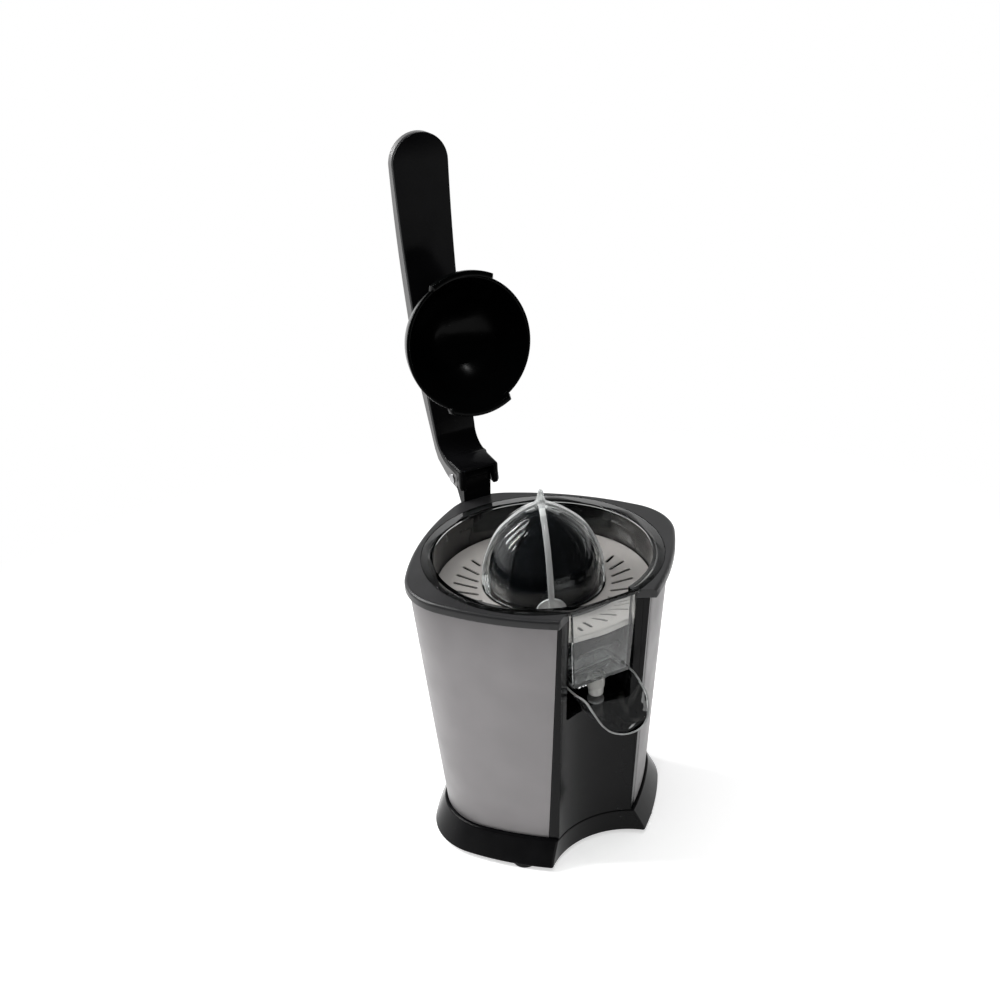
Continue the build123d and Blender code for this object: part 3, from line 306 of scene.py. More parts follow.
def through_rows(name, rows, closed=True):
    """A skin through rows of points: the first row is drawn, and each next one is extruded and put in place."""
    first = [Vector(p) * MM for p in rows[0]]
    if closed:
        put_down()
        bpy.ops.mesh.primitive_circle_add(vertices=len(first), radius=0.05, fill_type="NGON")
        piece = bpy.context.object
        piece.name = piece.data.name = name
        bpy.ops.object.mode_set(mode="EDIT")
        for point, vertex in zip(first, bmesh.from_edit_mesh(piece.data).verts):
            vertex.co = point
        bpy.ops.mesh.select_all(action="SELECT")
    else:
        piece = draw_line(name, rows[0])
    for row in rows[1:]:
        second = [Vector(p) * MM for p in row]
        nearest = KDTree(len(first))
        for i, point in enumerate(first):
            nearest.insert(point, i)
        nearest.balance()
        bpy.ops.mesh.extrude_region_move()
        mesh = bmesh.from_edit_mesh(piece.data)
        for vertex in mesh.verts:
            if vertex.select:
                vertex.co = second[nearest.find(vertex.co)[1]]
        bmesh.update_edit_mesh(piece.data)
        first = second
    close_up()
    return piece


def apply_all(piece):
    """Applies every modifier of a piece."""
    pick_up(piece)
    for modifier in list(piece.modifiers):
        bpy.ops.object.modifier_apply(modifier=modifier.name)


def cut(piece, tool, how="DIFFERENCE"):
    """Cuts a piece with another, or joins them into one skin, and throws the tool away."""
    modifier = piece.modifiers.new("cut", "BOOLEAN")
    modifier.operation, modifier.object, modifier.solver = how, tool, "EXACT"
    modifier.material_mode = "TRANSFER"
    apply_all(piece)
    bpy.data.objects.remove(tool)


def soft_edges(piece, width, segments=2, angle=35):
    """Rounds the sharp edges of a piece and smooths its shading."""
    modifier = piece.modifiers.new("soft", "BEVEL")
    modifier.width, modifier.segments = width * MM, segments
    modifier.limit_method, modifier.angle_limit = "ANGLE", radians(angle)
    modifier.use_clamp_overlap = True
    apply_all(piece)
    bpy.ops.object.shade_smooth_by_angle(angle=radians(angle))


def smooth(piece, angle=35):
    """Smooths the shading of a piece over edges flatter than an angle."""
    pick_up(piece)
    bpy.ops.object.shade_smooth_by_angle(angle=radians(angle))


def merged_copy(node):
    """A copy of a CAD piece with its loose triangles merged and flat ones joined."""
    put_down()
    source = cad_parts[node]
    piece = bpy.data.objects.new(node + "_soft", source.data.copy())
    bpy.context.collection.objects.link(piece)
    piece.data.materials.clear()
    pick_up(piece)
    bpy.ops.object.mode_set(mode="EDIT")
    bpy.ops.mesh.select_all(action="SELECT")
    bpy.ops.mesh.remove_doubles(threshold=2e-6)
    bpy.ops.mesh.dissolve_limited(angle_limit=radians(0.5))
    bpy.ops.object.mode_set(mode="OBJECT")
    return piece


def rounded_copy(node, width):
    """A merged copy of a CAD piece with its edges rounded."""
    piece = merged_copy(node)
    soft_edges(piece, width)
    return piece


def joined(pieces):
    """Makes one piece of several, with its place and turn in its mesh."""
    pick_up(pieces[0])
    for piece in pieces:
        piece.select_set(True)
    bpy.ops.object.join()
    bpy.ops.object.transform_apply()
    return pieces[0]


def round_edges(piece, radius, chosen, segments=3, sharp=30):
    """Rounds the sharp edges that pass a test of their middle, in millimetres, and of their faces' normals."""
    pick_up(piece)
    bpy.ops.object.mode_set(mode="EDIT")
    bpy.ops.mesh.select_mode(type="EDGE")
    bpy.ops.mesh.select_all(action="DESELECT")
    mesh = bmesh.from_edit_mesh(piece.data)
    count = 0
    for edge in mesh.edges:
        middle = (edge.verts[0].co + edge.verts[1].co) / 2 / MM
        normals = [face.normal for face in edge.link_faces]
        if edge.is_manifold and edge.calc_face_angle() > radians(sharp) and chosen(*middle, normals):
            edge.select_set(True)
            count += 1
    bmesh.update_edit_mesh(piece.data)
    if count:
        bpy.ops.mesh.bevel(offset=radius * MM, segments=segments, affect="EDGES")
    bpy.ops.mesh.select_mode(type="VERT")
    bpy.ops.object.mode_set(mode="OBJECT")
    print(piece.name, "edges rounded:", count)


def dress(piece, finish, body, slot, *nodes):
    """Gives a piece its finish, and ties it to the body and CAD nodes that it stands for. The slot is not used."""
    if finish:
        piece.data.materials.clear()
        piece.data.materials.append(finish)
    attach(piece, body)
    if nodes:
        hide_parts(*nodes)
    print(piece.name, "faces:", len(piece.data.polygons))


# %% [markdown]
# ## Finishes
# The press has few finishes: glossy black plastic, satin silver paint, brushed strainer steel, clear plastic, white
# plastic and rubber. Each is one Principled shader whose roughness and fine relief come from noise on the piece's own
# coordinates, so that no surface is perfectly even.

# %% Finish helpers


def new_finish(name, colour, roughness, metallic=0.0, specular=0.5):
    """A material with one Principled shader and plain values on its own sockets."""
    finish = bpy.data.materials.new(name)
    finish.use_nodes = True
    shader = finish.node_tree.nodes["Principled BSDF"]
    shader.inputs["Base Color"].default_value = (*colour, 1)
    shader.inputs["Roughness"].default_value = roughness
    shader.inputs["Metallic"].default_value = metallic
    shader.inputs["Specular IOR Level"].default_value = specular
    return finish


def noise_in(finish, scale, stretch=(1, 1, 1), detail=3.0):
    """Noise on the piece's own coordinates; scale counts its grains per metre."""
    nodes, links = finish.node_tree.nodes, finish.node_tree.links
    where = nodes.new("ShaderNodeTexCoord")
    mapping = nodes.new("ShaderNodeMapping")
    mapping.inputs["Scale"].default_value = stretch
    noise = nodes.new("ShaderNodeTexNoise")
    noise.inputs["Scale"].default_value = scale
    noise.inputs["Detail"].default_value = detail
    links.new(where.outputs["Object"], mapping.inputs["Vector"])
    links.new(mapping.outputs["Vector"], noise.inputs["Vector"])
    return noise.outputs["Fac"]


def vary(finish, fac, socket, low, high):
    """Drives a number of the shader from noise, between two values."""
    nodes, links = finish.node_tree.nodes, finish.node_tree.links
    spread = nodes.new("ShaderNodeMapRange")
    spread.inputs["From Min"].default_value = 0.3
    spread.inputs["From Max"].default_value = 0.7
    spread.inputs["To Min"].default_value = low
    spread.inputs["To Max"].default_value = high
    links.new(fac, spread.inputs["Value"])
    links.new(spread.outputs["Result"], nodes["Principled BSDF"].inputs[socket])


def tint(finish, fac, dark, light):
    """Drives the colour from noise, between two colours."""
    nodes, links = finish.node_tree.nodes, finish.node_tree.links
    ramp = nodes.new("ShaderNodeValToRGB")
    ramp.color_ramp.elements[0].position, ramp.color_ramp.elements[1].position = 0.3, 0.7
    ramp.color_ramp.elements[0].color = (*dark, 1)
    ramp.color_ramp.elements[1].color = (*light, 1)
    links.new(fac, ramp.inputs["Fac"])
    links.new(ramp.outputs["Color"], nodes["Principled BSDF"].inputs["Base Color"])


def relief(finish, fac, strength, depth):
    """Fine bumps from noise; depth is in millimetres."""
    nodes, links = finish.node_tree.nodes, finish.node_tree.links
    bump = nodes.new("ShaderNodeBump")
    bump.inputs["Strength"].default_value = strength
    bump.inputs["Distance"].default_value = depth * MM
    links.new(fac, bump.inputs["Height"])
    links.new(bump.outputs["Normal"], nodes["Principled BSDF"].inputs["Normal"])


# %% Plastics and rubber


def moulded(name, dark, light, smooth_low, smooth_high, specular, grain=1800, depth=0.004):
    """Moulded plastic: faint colour drift, uneven polish and a fine skin."""
    finish = new_finish(name, light, smooth_low, specular=specular)
    tint(finish, noise_in(finish, 40), dark, light)
    vary(finish, noise_in(finish, 90), "Roughness", smooth_low, smooth_high)
    relief(finish, noise_in(finish, grain), 0.15, depth)
    return finish


# Dark and light colour, smoothest and roughest, specular level, grains per metre, depth of the grain.
gloss_black = moulded("gloss_black", (0.003, 0.003, 0.0034), (0.0045, 0.0045, 0.005), 0.16, 0.24, 0.1)
# The rim's black is lighter than the other blacks: painted sheen of the sky on its top.
sheen_rim_black = moulded("sheen_rim_black", (0.020, 0.020, 0.021), (0.025, 0.025, 0.026), 0.28, 0.36, 0.3, 2600, 0.003)
arm_black = moulded("arm_black", (0.003, 0.003, 0.0034), (0.0045, 0.0045, 0.005), 0.2, 0.28, 0.08)
cup_black = moulded("cup_black", (0.0008, 0.001, 0.001), (0.0014, 0.0016, 0.0016), 0.2, 0.24, 0.08, 900, 0.001)
cone_black = moulded("cone_black", (0.003, 0.0034, 0.004), (0.0045, 0.005, 0.006), 0.03, 0.05, 0.34, 900, 0.001)
matte_black = moulded("matte_black", (0.008, 0.008, 0.009), (0.012, 0.012, 0.013), 0.45, 0.6, 0.25, 1500, 0.02)
rubber = moulded("rubber", (0.010, 0.010, 0.010), (0.016, 0.016, 0.016), 0.7, 0.85, 0.2, 1200, 0.03)
white_plastic = moulded("white_plastic", (0.44, 0.43, 0.41), (0.50, 0.49, 0.47), 0.3, 0.4, 0.4)
grey_silicone = moulded("grey_silicone", (0.17, 0.17, 0.17), (0.22, 0.22, 0.22), 0.4, 0.5, 0.4)
grey_plastic = moulded("grey_plastic", (0.16, 0.16, 0.17), (0.20, 0.20, 0.21), 0.4, 0.5, 0.5)

# %% Metals
silver_paint = new_finish("silver_paint", (0.21, 0.202, 0.204), 0.42, 0.7, 0.3)
tint(silver_paint, noise_in(silver_paint, 12), (0.202, 0.194, 0.196), (0.222, 0.213, 0.216))
vary(silver_paint, noise_in(silver_paint, 60), "Roughness", 0.38, 0.46)
relief(silver_paint, noise_in(silver_paint, 5200), 0.12, 0.006)
# The arm's cover takes a darker copy of the wrap's silver: painted shade.
shaded_arm_silver = new_finish("shaded_arm_silver", (0.17, 0.168, 0.168), 0.4, 0.8, 0.4)
tint(shaded_arm_silver, noise_in(shaded_arm_silver, 30), (0.16, 0.158, 0.158), (0.18, 0.178, 0.178))
vary(shaded_arm_silver, noise_in(shaded_arm_silver, 80), "Roughness", 0.35, 0.45)
relief(shaded_arm_silver, noise_in(shaded_arm_silver, 5200), 0.12, 0.006)

strainer_steel = new_finish("strainer_steel", (0.46, 0.435, 0.42), 0.34, 0.4, 0.5)
tint(strainer_steel, noise_in(strainer_steel, 25), (0.43, 0.41, 0.395), (0.49, 0.465, 0.445))
vary(strainer_steel, noise_in(strainer_steel, 70), "Roughness", 0.3, 0.4)
relief(strainer_steel, noise_in(strainer_steel, 900, (1, 8, 1)), 0.08, 0.01)

plain_steel = new_finish("plain_steel", (0.45, 0.45, 0.46), 0.3, 1.0)
vary(plain_steel, noise_in(plain_steel, 400, (1, 1, 6)), "Roughness", 0.25, 0.4)
bronze = new_finish("bronze", (0.42, 0.24, 0.10), 0.4, 1.0)
vary(bronze, noise_in(bronze, 500), "Roughness", 0.35, 0.5)
dark_iron = new_finish("dark_iron", (0.06, 0.06, 0.065), 0.5, 0.6)
vary(dark_iron, noise_in(dark_iron, 500), "Roughness", 0.45, 0.6)

# %% Clear plastic


def clear_plastic(name, transmission, low, high, bend=1.4):
    """Clear plastic that lets lamps through; what it doesn't transmit is white, a painted highlight of the light that
    edges catch.
    """
    finish = new_finish(name, (0.94, 0.955, 0.95), low)
    nodes, links = finish.node_tree.nodes, finish.node_tree.links
    shader = nodes["Principled BSDF"]
    shader.inputs["Transmission Weight"].default_value = transmission
    shader.inputs["IOR"].default_value = bend
    vary(finish, noise_in(finish, 120), "Roughness", low, high)
    lets_lamps_through = nodes.new("ShaderNodeMixShader")
    see_through = nodes.new("ShaderNodeBsdfTransparent")
    see_through.inputs["Color"].default_value = (0.86, 0.88, 0.87, 1)
    paths = nodes.new("ShaderNodeLightPath")
    links.new(paths.outputs["Is Shadow Ray"], lets_lamps_through.inputs["Fac"])
    links.new(shader.outputs[0], lets_lamps_through.inputs[1])
    links.new(see_through.outputs[0], lets_lamps_through.inputs[2])
    links.new(lets_lamps_through.outputs[0], nodes["Material Output"].inputs["Surface"])
    return finish


clear = clear_plastic("clear_plastic", 1.0, 0.01, 0.035)
thin_clear = clear_plastic("thin_clear", 1.0, 0.01, 0.03, 1.2)
# Partly white clear plastic: its white is a painted highlight for the light that blades, spike and rims catch.
edge_glint_white = clear_plastic("edge_glint_white", 0.66, 0.08, 0.14)
print("finishes:", [m.name for m in bpy.data.materials])

# %% Finishes of the CAD pieces that stay
STAYS = {
    gloss_black: ["base_shell", "housing", "front_panel", "spout_bay"],
    matte_black: ["bottom_plate", "cord_gland", "deck", "switch_body", "motor_end_cap"],
    grey_silicone: ["spout_plug"],
    plain_steel: ["bottom_screws", "gearbox_screws", "cup_screw", "hinge_pin", "drive_shaft",
                  "retaining_ring", "idler_axle", "motor_can", "thrust_washer"],
    bronze: ["lower_bush", "upper_bush"],
    # The spout rod takes the dark iron as well: partly a blackened rod, partly painted shade that keeps it as dark as
    # the bay it lies in.
    dark_iron: ["motor_magnets", "motor_rotor", "spout_rod"],
    grey_plastic: ["gearbox_base", "gearbox_cover", "output_gear", "idler_gear", "motor_pinion", "switch_plunger"],
    rubber: ["shaft_seal"],
}
for finish, names in STAYS.items():
    for name in names:
        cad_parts[name].data.materials.clear()
        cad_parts[name].data.materials.append(finish)
print("CAD pieces dressed:", sum(len(names) for names in STAYS.values()))

# %% [markdown]
# ## Silver wrap
# A thin silver sheet runs round both sides and the back of the body and stops at the black pillars in front. Its plan
# is a diamond with bowed sides and round corners, wider at the top than at the base. The sheet is drawn as one line
# along the foot, pulled up row by row to the rim, and then given its thickness. Its edges fold in a little, as
# pressed sheet does.

# %% Plan of the body
SIDE_BOW = 188.0
WRAP_EDGE_X = 31.3


def wrap_line(flat, corner, shift, z, inset):
    """The sheet's path at a height, from the left pillar round the back to the right pillar."""
    flat -= inset
    k = (SIDE_BOW - flat) * sqrt(0.5)
    c = sqrt((SIDE_BOW - corner) ** 2 - k**2) - k
    turn = atan2(k, c + k)
    start = -acos((-WRAP_EDGE_X - k) / SIDE_BOW)
    arcs = [
        ((k, k), SIDE_BOW, start, turn - pi, 14),
        ((-c, 0), corner, turn - pi, -pi - turn, 22),
        ((k, -k), SIDE_BOW, -pi - turn, turn - 1.5 * pi, 20),
        ((0, c), corner, turn - 1.5 * pi, -1.5 * pi, 11),
    ]
    left = []
    for (x, y), radius, first, last, steps in arcs:
        for i in range(steps):
            a = first + (last - first) * i / steps
            left.append((x + radius * cos(a), y + radius * sin(a) + shift, z))
    tip = (0, c + corner + shift, z)
    return left + [tip] + [(-x, y, z) for x, y, z in reversed(left)]


# %% Wrap
WRAP_LOW, WRAP_HIGH, SHEET_THICK = 20.2, 183.8, 0.7
BODY_LOW, BODY_HEIGHT = 20, 164
FLAT_LOW, FLAT_GAIN, CORNER_R = 61.7, 13.3, 40
SHIFT_LOW, SHIFT_LOSS = 4.5, 3.0
wrap_rows = []
for z, inset in ((WRAP_LOW, 0.5), (WRAP_LOW + 0.3, 0.15), (WRAP_LOW + 0.8, 0.0), (60, 0), (100, 0), (140, 0),
                 (WRAP_HIGH - 0.8, 0.0), (WRAP_HIGH - 0.3, 0.15), (WRAP_HIGH, 0.5)):
    share = (z - BODY_LOW) / BODY_HEIGHT
    wrap_rows.append(wrap_line(FLAT_LOW + share * FLAT_GAIN, CORNER_R, SHIFT_LOW - SHIFT_LOSS * share, z, inset))
wrap = through_rows("silver_wrap", wrap_rows, closed=False)
sheet = wrap.modifiers.new("sheet", "SOLIDIFY")
sheet.thickness, sheet.offset = SHEET_THICK * MM, -1
apply_all(wrap)
soft_edges(wrap, 0.2, 2, 50)
dress(wrap, silver_paint, "base", "silver", "steel_wrap")

# %% [markdown]
# ## Rim
# The rim is one moulding with the neck that carries the arm. Its top is satin and gets a lighter black as painted
# sheen, and its inner wall and the neck get the deeper black of the arm as painted shade. A second piece could carry
# the second finish, but the real one has no joint there, so the CAD shape is copied, its neck is widened until it
# nearly fills the fork, and its faces get their finish by place. Normals weighted by area keep the neck's flat back
# free of streaks.

# %% Rim and neck
NECK_FOOT, NECK_FRONT, NECK_REACH = 190.3, 80, 10.5
NECK_HALF, WIDE_NECK_HALF = 9.6, 9.95


def on_neck(point):
    """Whether a point belongs to the neck that carries the arm."""
    return point.y > NECK_FRONT * MM and abs(point.x) < NECK_REACH * MM and point.z > NECK_FOOT * MM


rim = merged_copy("top_rim")
for vertex in rim.data.vertices:
    vertex.select = on_neck(vertex.co)
for part in list(rim.data.edges) + list(rim.data.polygons):
    part.select = False
pick_up(rim)
bpy.ops.object.mode_set(mode="EDIT")
bpy.ops.mesh.select_mode(type="VERT")
bpy.ops.transform.resize(value=(WIDE_NECK_HALF / NECK_HALF, 1, 1), center_override=(0, 0, 0))
bpy.ops.object.mode_set(mode="OBJECT")
rim.data.materials.clear()
rim.data.materials.append(sheen_rim_black)
rim.data.materials.append(arm_black)
# The inner wall and the neck take the deeper black of the arm as painted shade; the rest takes the lighter rim black as
# painted sheen.
for face in rim.data.polygons:
    looks_in = face.normal.x * face.center.x + face.normal.y * face.center.y < 0 and abs(face.normal.z) < 0.5
    face.material_index = 1 if on_neck(face.center) or looks_in else 0
smooth(rim)
even = rim.modifiers.new("even", "WEIGHTED_NORMAL")
even.keep_sharp = True
apply_all(rim)
dress(rim, None, "base", "black_gloss", "top_rim")

# %% [markdown]
# ## Lever arm
# The arm is two mouldings: a black face towards the fruit, which ends in the hinge block, and a silver cover behind
# it. They could be drawn anew, but the CAD shapes are nearly right. Only the heel is too full, and the edges are too
# sharp to catch light. So each is copied, its heel is cut to a softer line, and its outer edges are bevelled. The
# cover is hollow, so a plate is joined across the line first, and the cut then leaves one closed face. Two turned
# caps end the hinge pin.

# %% Arm
# The heel's new line from the hinge block up the back, in (y, z), closed round what is cut away.
HEEL_CUT = [
    (60, 199.8), (78, 200.0), (84, 200.9), (90, 202.0), (96, 204.3), (104, 207.6), (110.4, 211.3), (114.5, 217.5),
    (117.2, 224.0), (122.0, 238.0), (127.2, 254.0), (131.1, 266.0), (150, 266), (150, 180), (60, 180),
]
CUT_HALF, PLATE_HALF = 30, 13
PLATE_IN_Y, PLATE_IN_Z, PLATE_OUT_Y, PLATE_OUT_Z = -1.6, 0.6, 1.0, -0.4
BLOCK_HALF, BLOCK_FRONT, BLOCK_BACK, BLOCK_TOP = 13, 83.5, 96, 213
FORK_HALF, ARM_FOOT, FACE_START, LEAN = 10.6, 225, 97, 0.4


def heel_cutter():
    """A prism that takes off the arm's heel below a side-view line."""
    return through_rows("heel", [[(x, y, z) for y, z in HEEL_CUT] for x in (-CUT_HALF, CUT_HALF)])


def heel_skin():
    """A plate across the cut line, which closes the hollow cover before its heel is cut off."""
    line = HEEL_CUT[5:11]
    inside = [(y + PLATE_IN_Y, z + PLATE_IN_Z) for y, z in reversed(line)]
    outside = [(y + PLATE_OUT_Y, z + PLATE_OUT_Z) for y, z in line]
    return through_rows("heel_skin", [[(x, y, z) for y, z in outside + inside] for x in (-PLATE_HALF, PLATE_HALF)])


def at_knuckle(x, y, z, normals):
    """The outer edges of the hinge block, but not the joint with the silver cover."""
    return abs(x) > BLOCK_HALF and (y < BLOCK_FRONT or (y < BLOCK_BACK and z > BLOCK_TOP))


def on_face(x, y, z, normals):
    """The outer edges of the black face that look forwards."""
    outer = abs(x) > FORK_HALF or z > ARM_FOOT
    return outer and max(n.y for n in normals) < LEAN and (y > FACE_START or y < BLOCK_FRONT)


def on_cover(x, y, z, normals):
    """The outer edges of the silver cover that look backwards."""
    outer = abs(x) > BLOCK_HALF or z > ARM_FOOT
    return outer and max(n.y for n in normals) > LEAN and min(n.y for n in normals) > -LEAN


arm_face = merged_copy("arm_shell")
cut(arm_face, heel_cutter())
round_edges(arm_face, 2.2, at_knuckle, 4)
round_edges(arm_face, 0.7, on_face)
smooth(arm_face)
dress(arm_face, arm_black, "arm", "black_gloss", "arm_shell")
arm_back = merged_copy("arm_cover")
cut(arm_back, heel_skin(), "UNION")
cut(arm_back, heel_cutter())
round_edges(arm_back, 0.9, on_cover)
smooth(arm_back)
dress(arm_back, shaded_arm_silver, "arm", "silver", "arm_cover")

# %% Pin caps
PIN_Y, PIN_Z = 90, 205.6
CAP_R, CAP_IN, CAP_OUT = 3.1, 14.02, 14.8
cap_profile = rounded([(0, CAP_OUT), (CAP_R, CAP_OUT), (CAP_R, CAP_IN), (0, CAP_IN)], 0.5, 3)
pin_cap = turned("pin_caps", cap_profile, 48)
pin_cap.rotation_euler = (0, pi / 2, 0)
pin_cap.location = (0, PIN_Y * MM, PIN_Z * MM)
other_cap = turned("other_cap", cap_profile, 48)
other_cap.rotation_euler = (0, -pi / 2, 0)
other_cap.location = pin_cap.location
joined([pin_cap, other_cap])
smooth(pin_cap)
dress(pin_cap, plain_steel, "arm", "silver", "hinge_caps")

# %% [markdown]
# ## Press cup
# The cup that pushes the fruit is a deep black bowl with a plain rim and two short lips, above and below. It is
# turned upright on the lathe first, its lips are swept along the rim, and then the whole cup is tilted to its place
# on the arm.

# %% Cup
CUP_R, CUP_WALL, STUD_R, STUD_END = 42.0, 2.0, 9.0, -45.9
CUP_HOLLOW_R = CUP_R - CUP_WALL
outside = smooth_through([(STUD_R, -40.6), (18.5, -36.3), (29.5, -27), (36.4, -16.5), (40.2, -7), (CUP_R, -1.0)])
inside = smooth_through(
    [(CUP_HOLLOW_R, -1.0), (38.2, -6.6), (34.5, -15.6), (28, -25.5), (17.5, -34.4), (7, -39.2), (0, -40)])
cup_edge = rounded([(CUP_R, -1.0), (CUP_R, 0.0), (CUP_HOLLOW_R, 0.0), (CUP_HOLLOW_R, -1.0)], 0.9, 4)
stud = rounded([(0, STUD_END), (STUD_R, STUD_END), (STUD_R, -40.6)], 0.5, 3)
cup = turned("press_cup_soft", stud[:-1] + outside[:-1] + cup_edge[:-1] + inside)

# %% Lips of the cup
LIP_HALF = radians(30)
LIP_IN, LIP_OUT, LIP_LOW, LIP_HIGH = 40.7, 44.6, -1.5, 4.0
LIP_STEPS, LIP_SHRINK, SHRINK_FROM, SHRINK_OVER = 24, 2.2, 0.93, 0.07


def lip_row(turn, shrink):
    """One cross-section of a lip at a turn about the cup's axis."""
    out, high = LIP_OUT - shrink, LIP_HIGH - shrink
    section = rounded([(LIP_IN, LIP_LOW), (out, LIP_LOW), (out, high), (LIP_IN, high)], 1.1, 3, closed=True)
    return [(r * cos(turn), r * sin(turn), z) for r, z in section]


for middle in (pi / 2, -pi / 2):
    lip_rows = []
    for i in range(LIP_STEPS + 1):
        share = 2 * i / LIP_STEPS - 1
        shrink = LIP_SHRINK * max(0.0, (abs(share) - SHRINK_FROM) / SHRINK_OVER) ** 2
        lip_rows.append(lip_row(middle + LIP_HALF * share, shrink))
    lip = through_rows("lip", lip_rows)
    cut(cup, lip, "UNION")
smooth(cup, 40)

# %% Tilt the cup to its place
TILT, CUP_Y, CUP_Z = radians(11.7), 81.0, 297.3
cup.matrix_world = Matrix((
    (1, 0, 0, 0),
    (0, sin(TILT), -cos(TILT), CUP_Y * MM),
    (0, cos(TILT), sin(TILT), CUP_Z * MM),
    (0, 0, 0, 1),
))
pick_up(cup)
bpy.ops.object.transform_apply()
dress(cup, cup_black, "arm", "black_gloss", "press_cup")

# %% [markdown]
# ## Strainer
# The strainer is a flat steel ring, pressed from sheet: its outer edge rolls down onto the bowl's ledge and its inner
# edge turns down round the cone. Two fields of slanted slots let the juice through. The ring is turned. One cutter
# could be copied round, but the slots differ in length and slant, so each gets its own, and all of them cut at once.

# %% Strainer ring
PLATE_TOP = 169.8
ring_profile = rounded(
    [(37.3, 167.2), (37.3, PLATE_TOP), (65.6, PLATE_TOP), (65.6, 166.0), (64.8, 166.0), (64.8, 169.0), (38.1, 169.0),
     (38.1, 167.2)], 1.3, 5, closed=True)
strainer = turned("strainer_ring", ring_profile + ring_profile[:1], 160)

# %% Slots
SLOT_WIDTH = 2.0
# Each slot's turn about the axis, the radius of its middle, its length, and its slant from the radius.
left_slots = [(121, 48, 10, -23), (133, 46.8, 15, -28), (144.3, 46.8, 17, -28), (154.6, 47.6, 17, -31),
              (165, 48.6, 17, -33), (176, 49, 16, -35), (187, 49, 15, -36), (198, 49, 12, -36), (209, 49, 8, -36)]
front_slots = [(261, 57.5, 7, 2), (267, 55, 10, 2), (276, 54, 11.5, 15), (284, 52, 12, 16), (293.5, 51.5, 13, 17),
               (303.5, 50, 14, 22), (314, 48.6, 15, 26), (326, 47.5, 15, 28), (337.8, 47.5, 15, 28),
               (349, 47.5, 14, 29), (360, 47.5, 10, 30), (371, 47.5, 5, 30)]


def slot_outline(length, width, z):
    """A long hole with round ends, about the origin."""
    half, r = length / 2 - width / 2, width / 2
    ends = [(half + r * cos(a), r * sin(a)) for a in [radians(-90 + 30 * i) for i in range(7)]]
    return [(x, y, z) for x, y in ends] + [(-x, -y, z) for x, y in ends]


cutters = []
for turn, radius, length, skew in left_slots + front_slots:
    cutter = through_rows("slot", [slot_outline(length, SLOT_WIDTH, z) for z in (PLATE_TOP - 3, PLATE_TOP + 2)])
    cutter.rotation_euler = (0, 0, radians(turn + skew))
    cutter.location = (radius * cos(radians(turn)) * MM, radius * sin(radians(turn)) * MM, 0)
    cutters.append(cutter)
cut(strainer, joined(cutters))
smooth(strainer, 40)
dress(strainer, strainer_steel, "bowl", "steel", "strainer")

# %% [markdown]
# ## Cones
# A glossy black cone sits on the shaft for small fruit, and a clear cone with four blades goes over it for large
# fruit. Both could be scaled spheres, but their sides are steeper, so they are turned from drawn profiles of (radius,
# height). A blade is a thin slice that stands a little proud of the dome, repeated round the axis, and each blade of
# the clear cone ends in a half-round foot.

# %% Black cone
small_outside = smooth_through([(4.0, 217.2), (11.2, 213.8), (22.2, 204.2), (29.4, 190.8), (31.4, 180.6)])
small_profile = (
    [(0, 217.9)] + small_outside
    + rounded([(31.4, 180.6), (31.7, 180.0), (33.0, 180.0), (33.0, 170.0), (31.0, 170.0), (31.0, 178.0), (26.5, 178.0)],
              0.8, 4)[1:]
    + [(16.5, 203.0), (7.0, 206.0), (7.0, 168.2), (0, 168.2)]
)
small_cone = turned("black_cone", small_profile)


def blade(name, side_view, thickness, turns):
    """Thin slices of a side view of (radius, height), one at each turn about the upright axis."""
    made = []
    for turn in turns:
        half = thickness / 2
        piece = through_rows(name, [[(r, side, z) for r, z in side_view] for side in (-half, half)])
        piece.rotation_euler = (0, 0, turn)
        made.append(piece)
    return joined(made)


CONE_TURN = radians(-112.5)
small_side = [(5, 212.5), (5, 182), (32.3, 180.2)] + smooth_through(
    [(32.2, 181.0), (30.4, 191.1), (23.1, 204.9), (11.8, 214.7)])
small_blades = blade("small_blade", small_side, 1.6, [CONE_TURN + radians(45 * i) for i in range(8)])
soft_edges(small_blades, 0.5, 2)
cut(small_cone, small_blades, "UNION")
smooth(small_cone, 40)
dress(small_cone, cone_black, "small_cone", "black_matte", "small_cone")

# %% Clear cone
DOME_R, HOLLOW_R, DOME_LOW, FOOT_LOW = 36.4, 34.0, 169.8, 169.2
HOLLOW_TOP, SPIKE_FOOT = 219.7, 222.2
dome = smooth_through([(3.4, 221.5), (13.0, 217.0), (25.6, 206.0), (33.5, 190.0), (35.8, 178.0), (DOME_R, DOME_LOW)])
hollow = smooth_through(
    [(HOLLOW_R, DOME_LOW), (33.9, 181.0), (31.7, 190.4), (24.2, 205.4), (12.3, 216.0), (4.5, 219.5)])
foot = rounded([(DOME_R, DOME_LOW), (DOME_R, FOOT_LOW), (HOLLOW_R, FOOT_LOW), (HOLLOW_R, DOME_LOW)], 0.5, 3)
spike = [(0, 231.3), (0.8, 231.2), (1.35, 230.7), (1.6, 229.8), (3.0, 223.0), (3.2, 222.0)]
large_cone = turned("clear_cone", spike + dome[:-1] + foot[:-1] + hollow + [(4.0, HOLLOW_TOP), (0, HOLLOW_TOP)])
large_cone.data.materials.append(thin_clear)

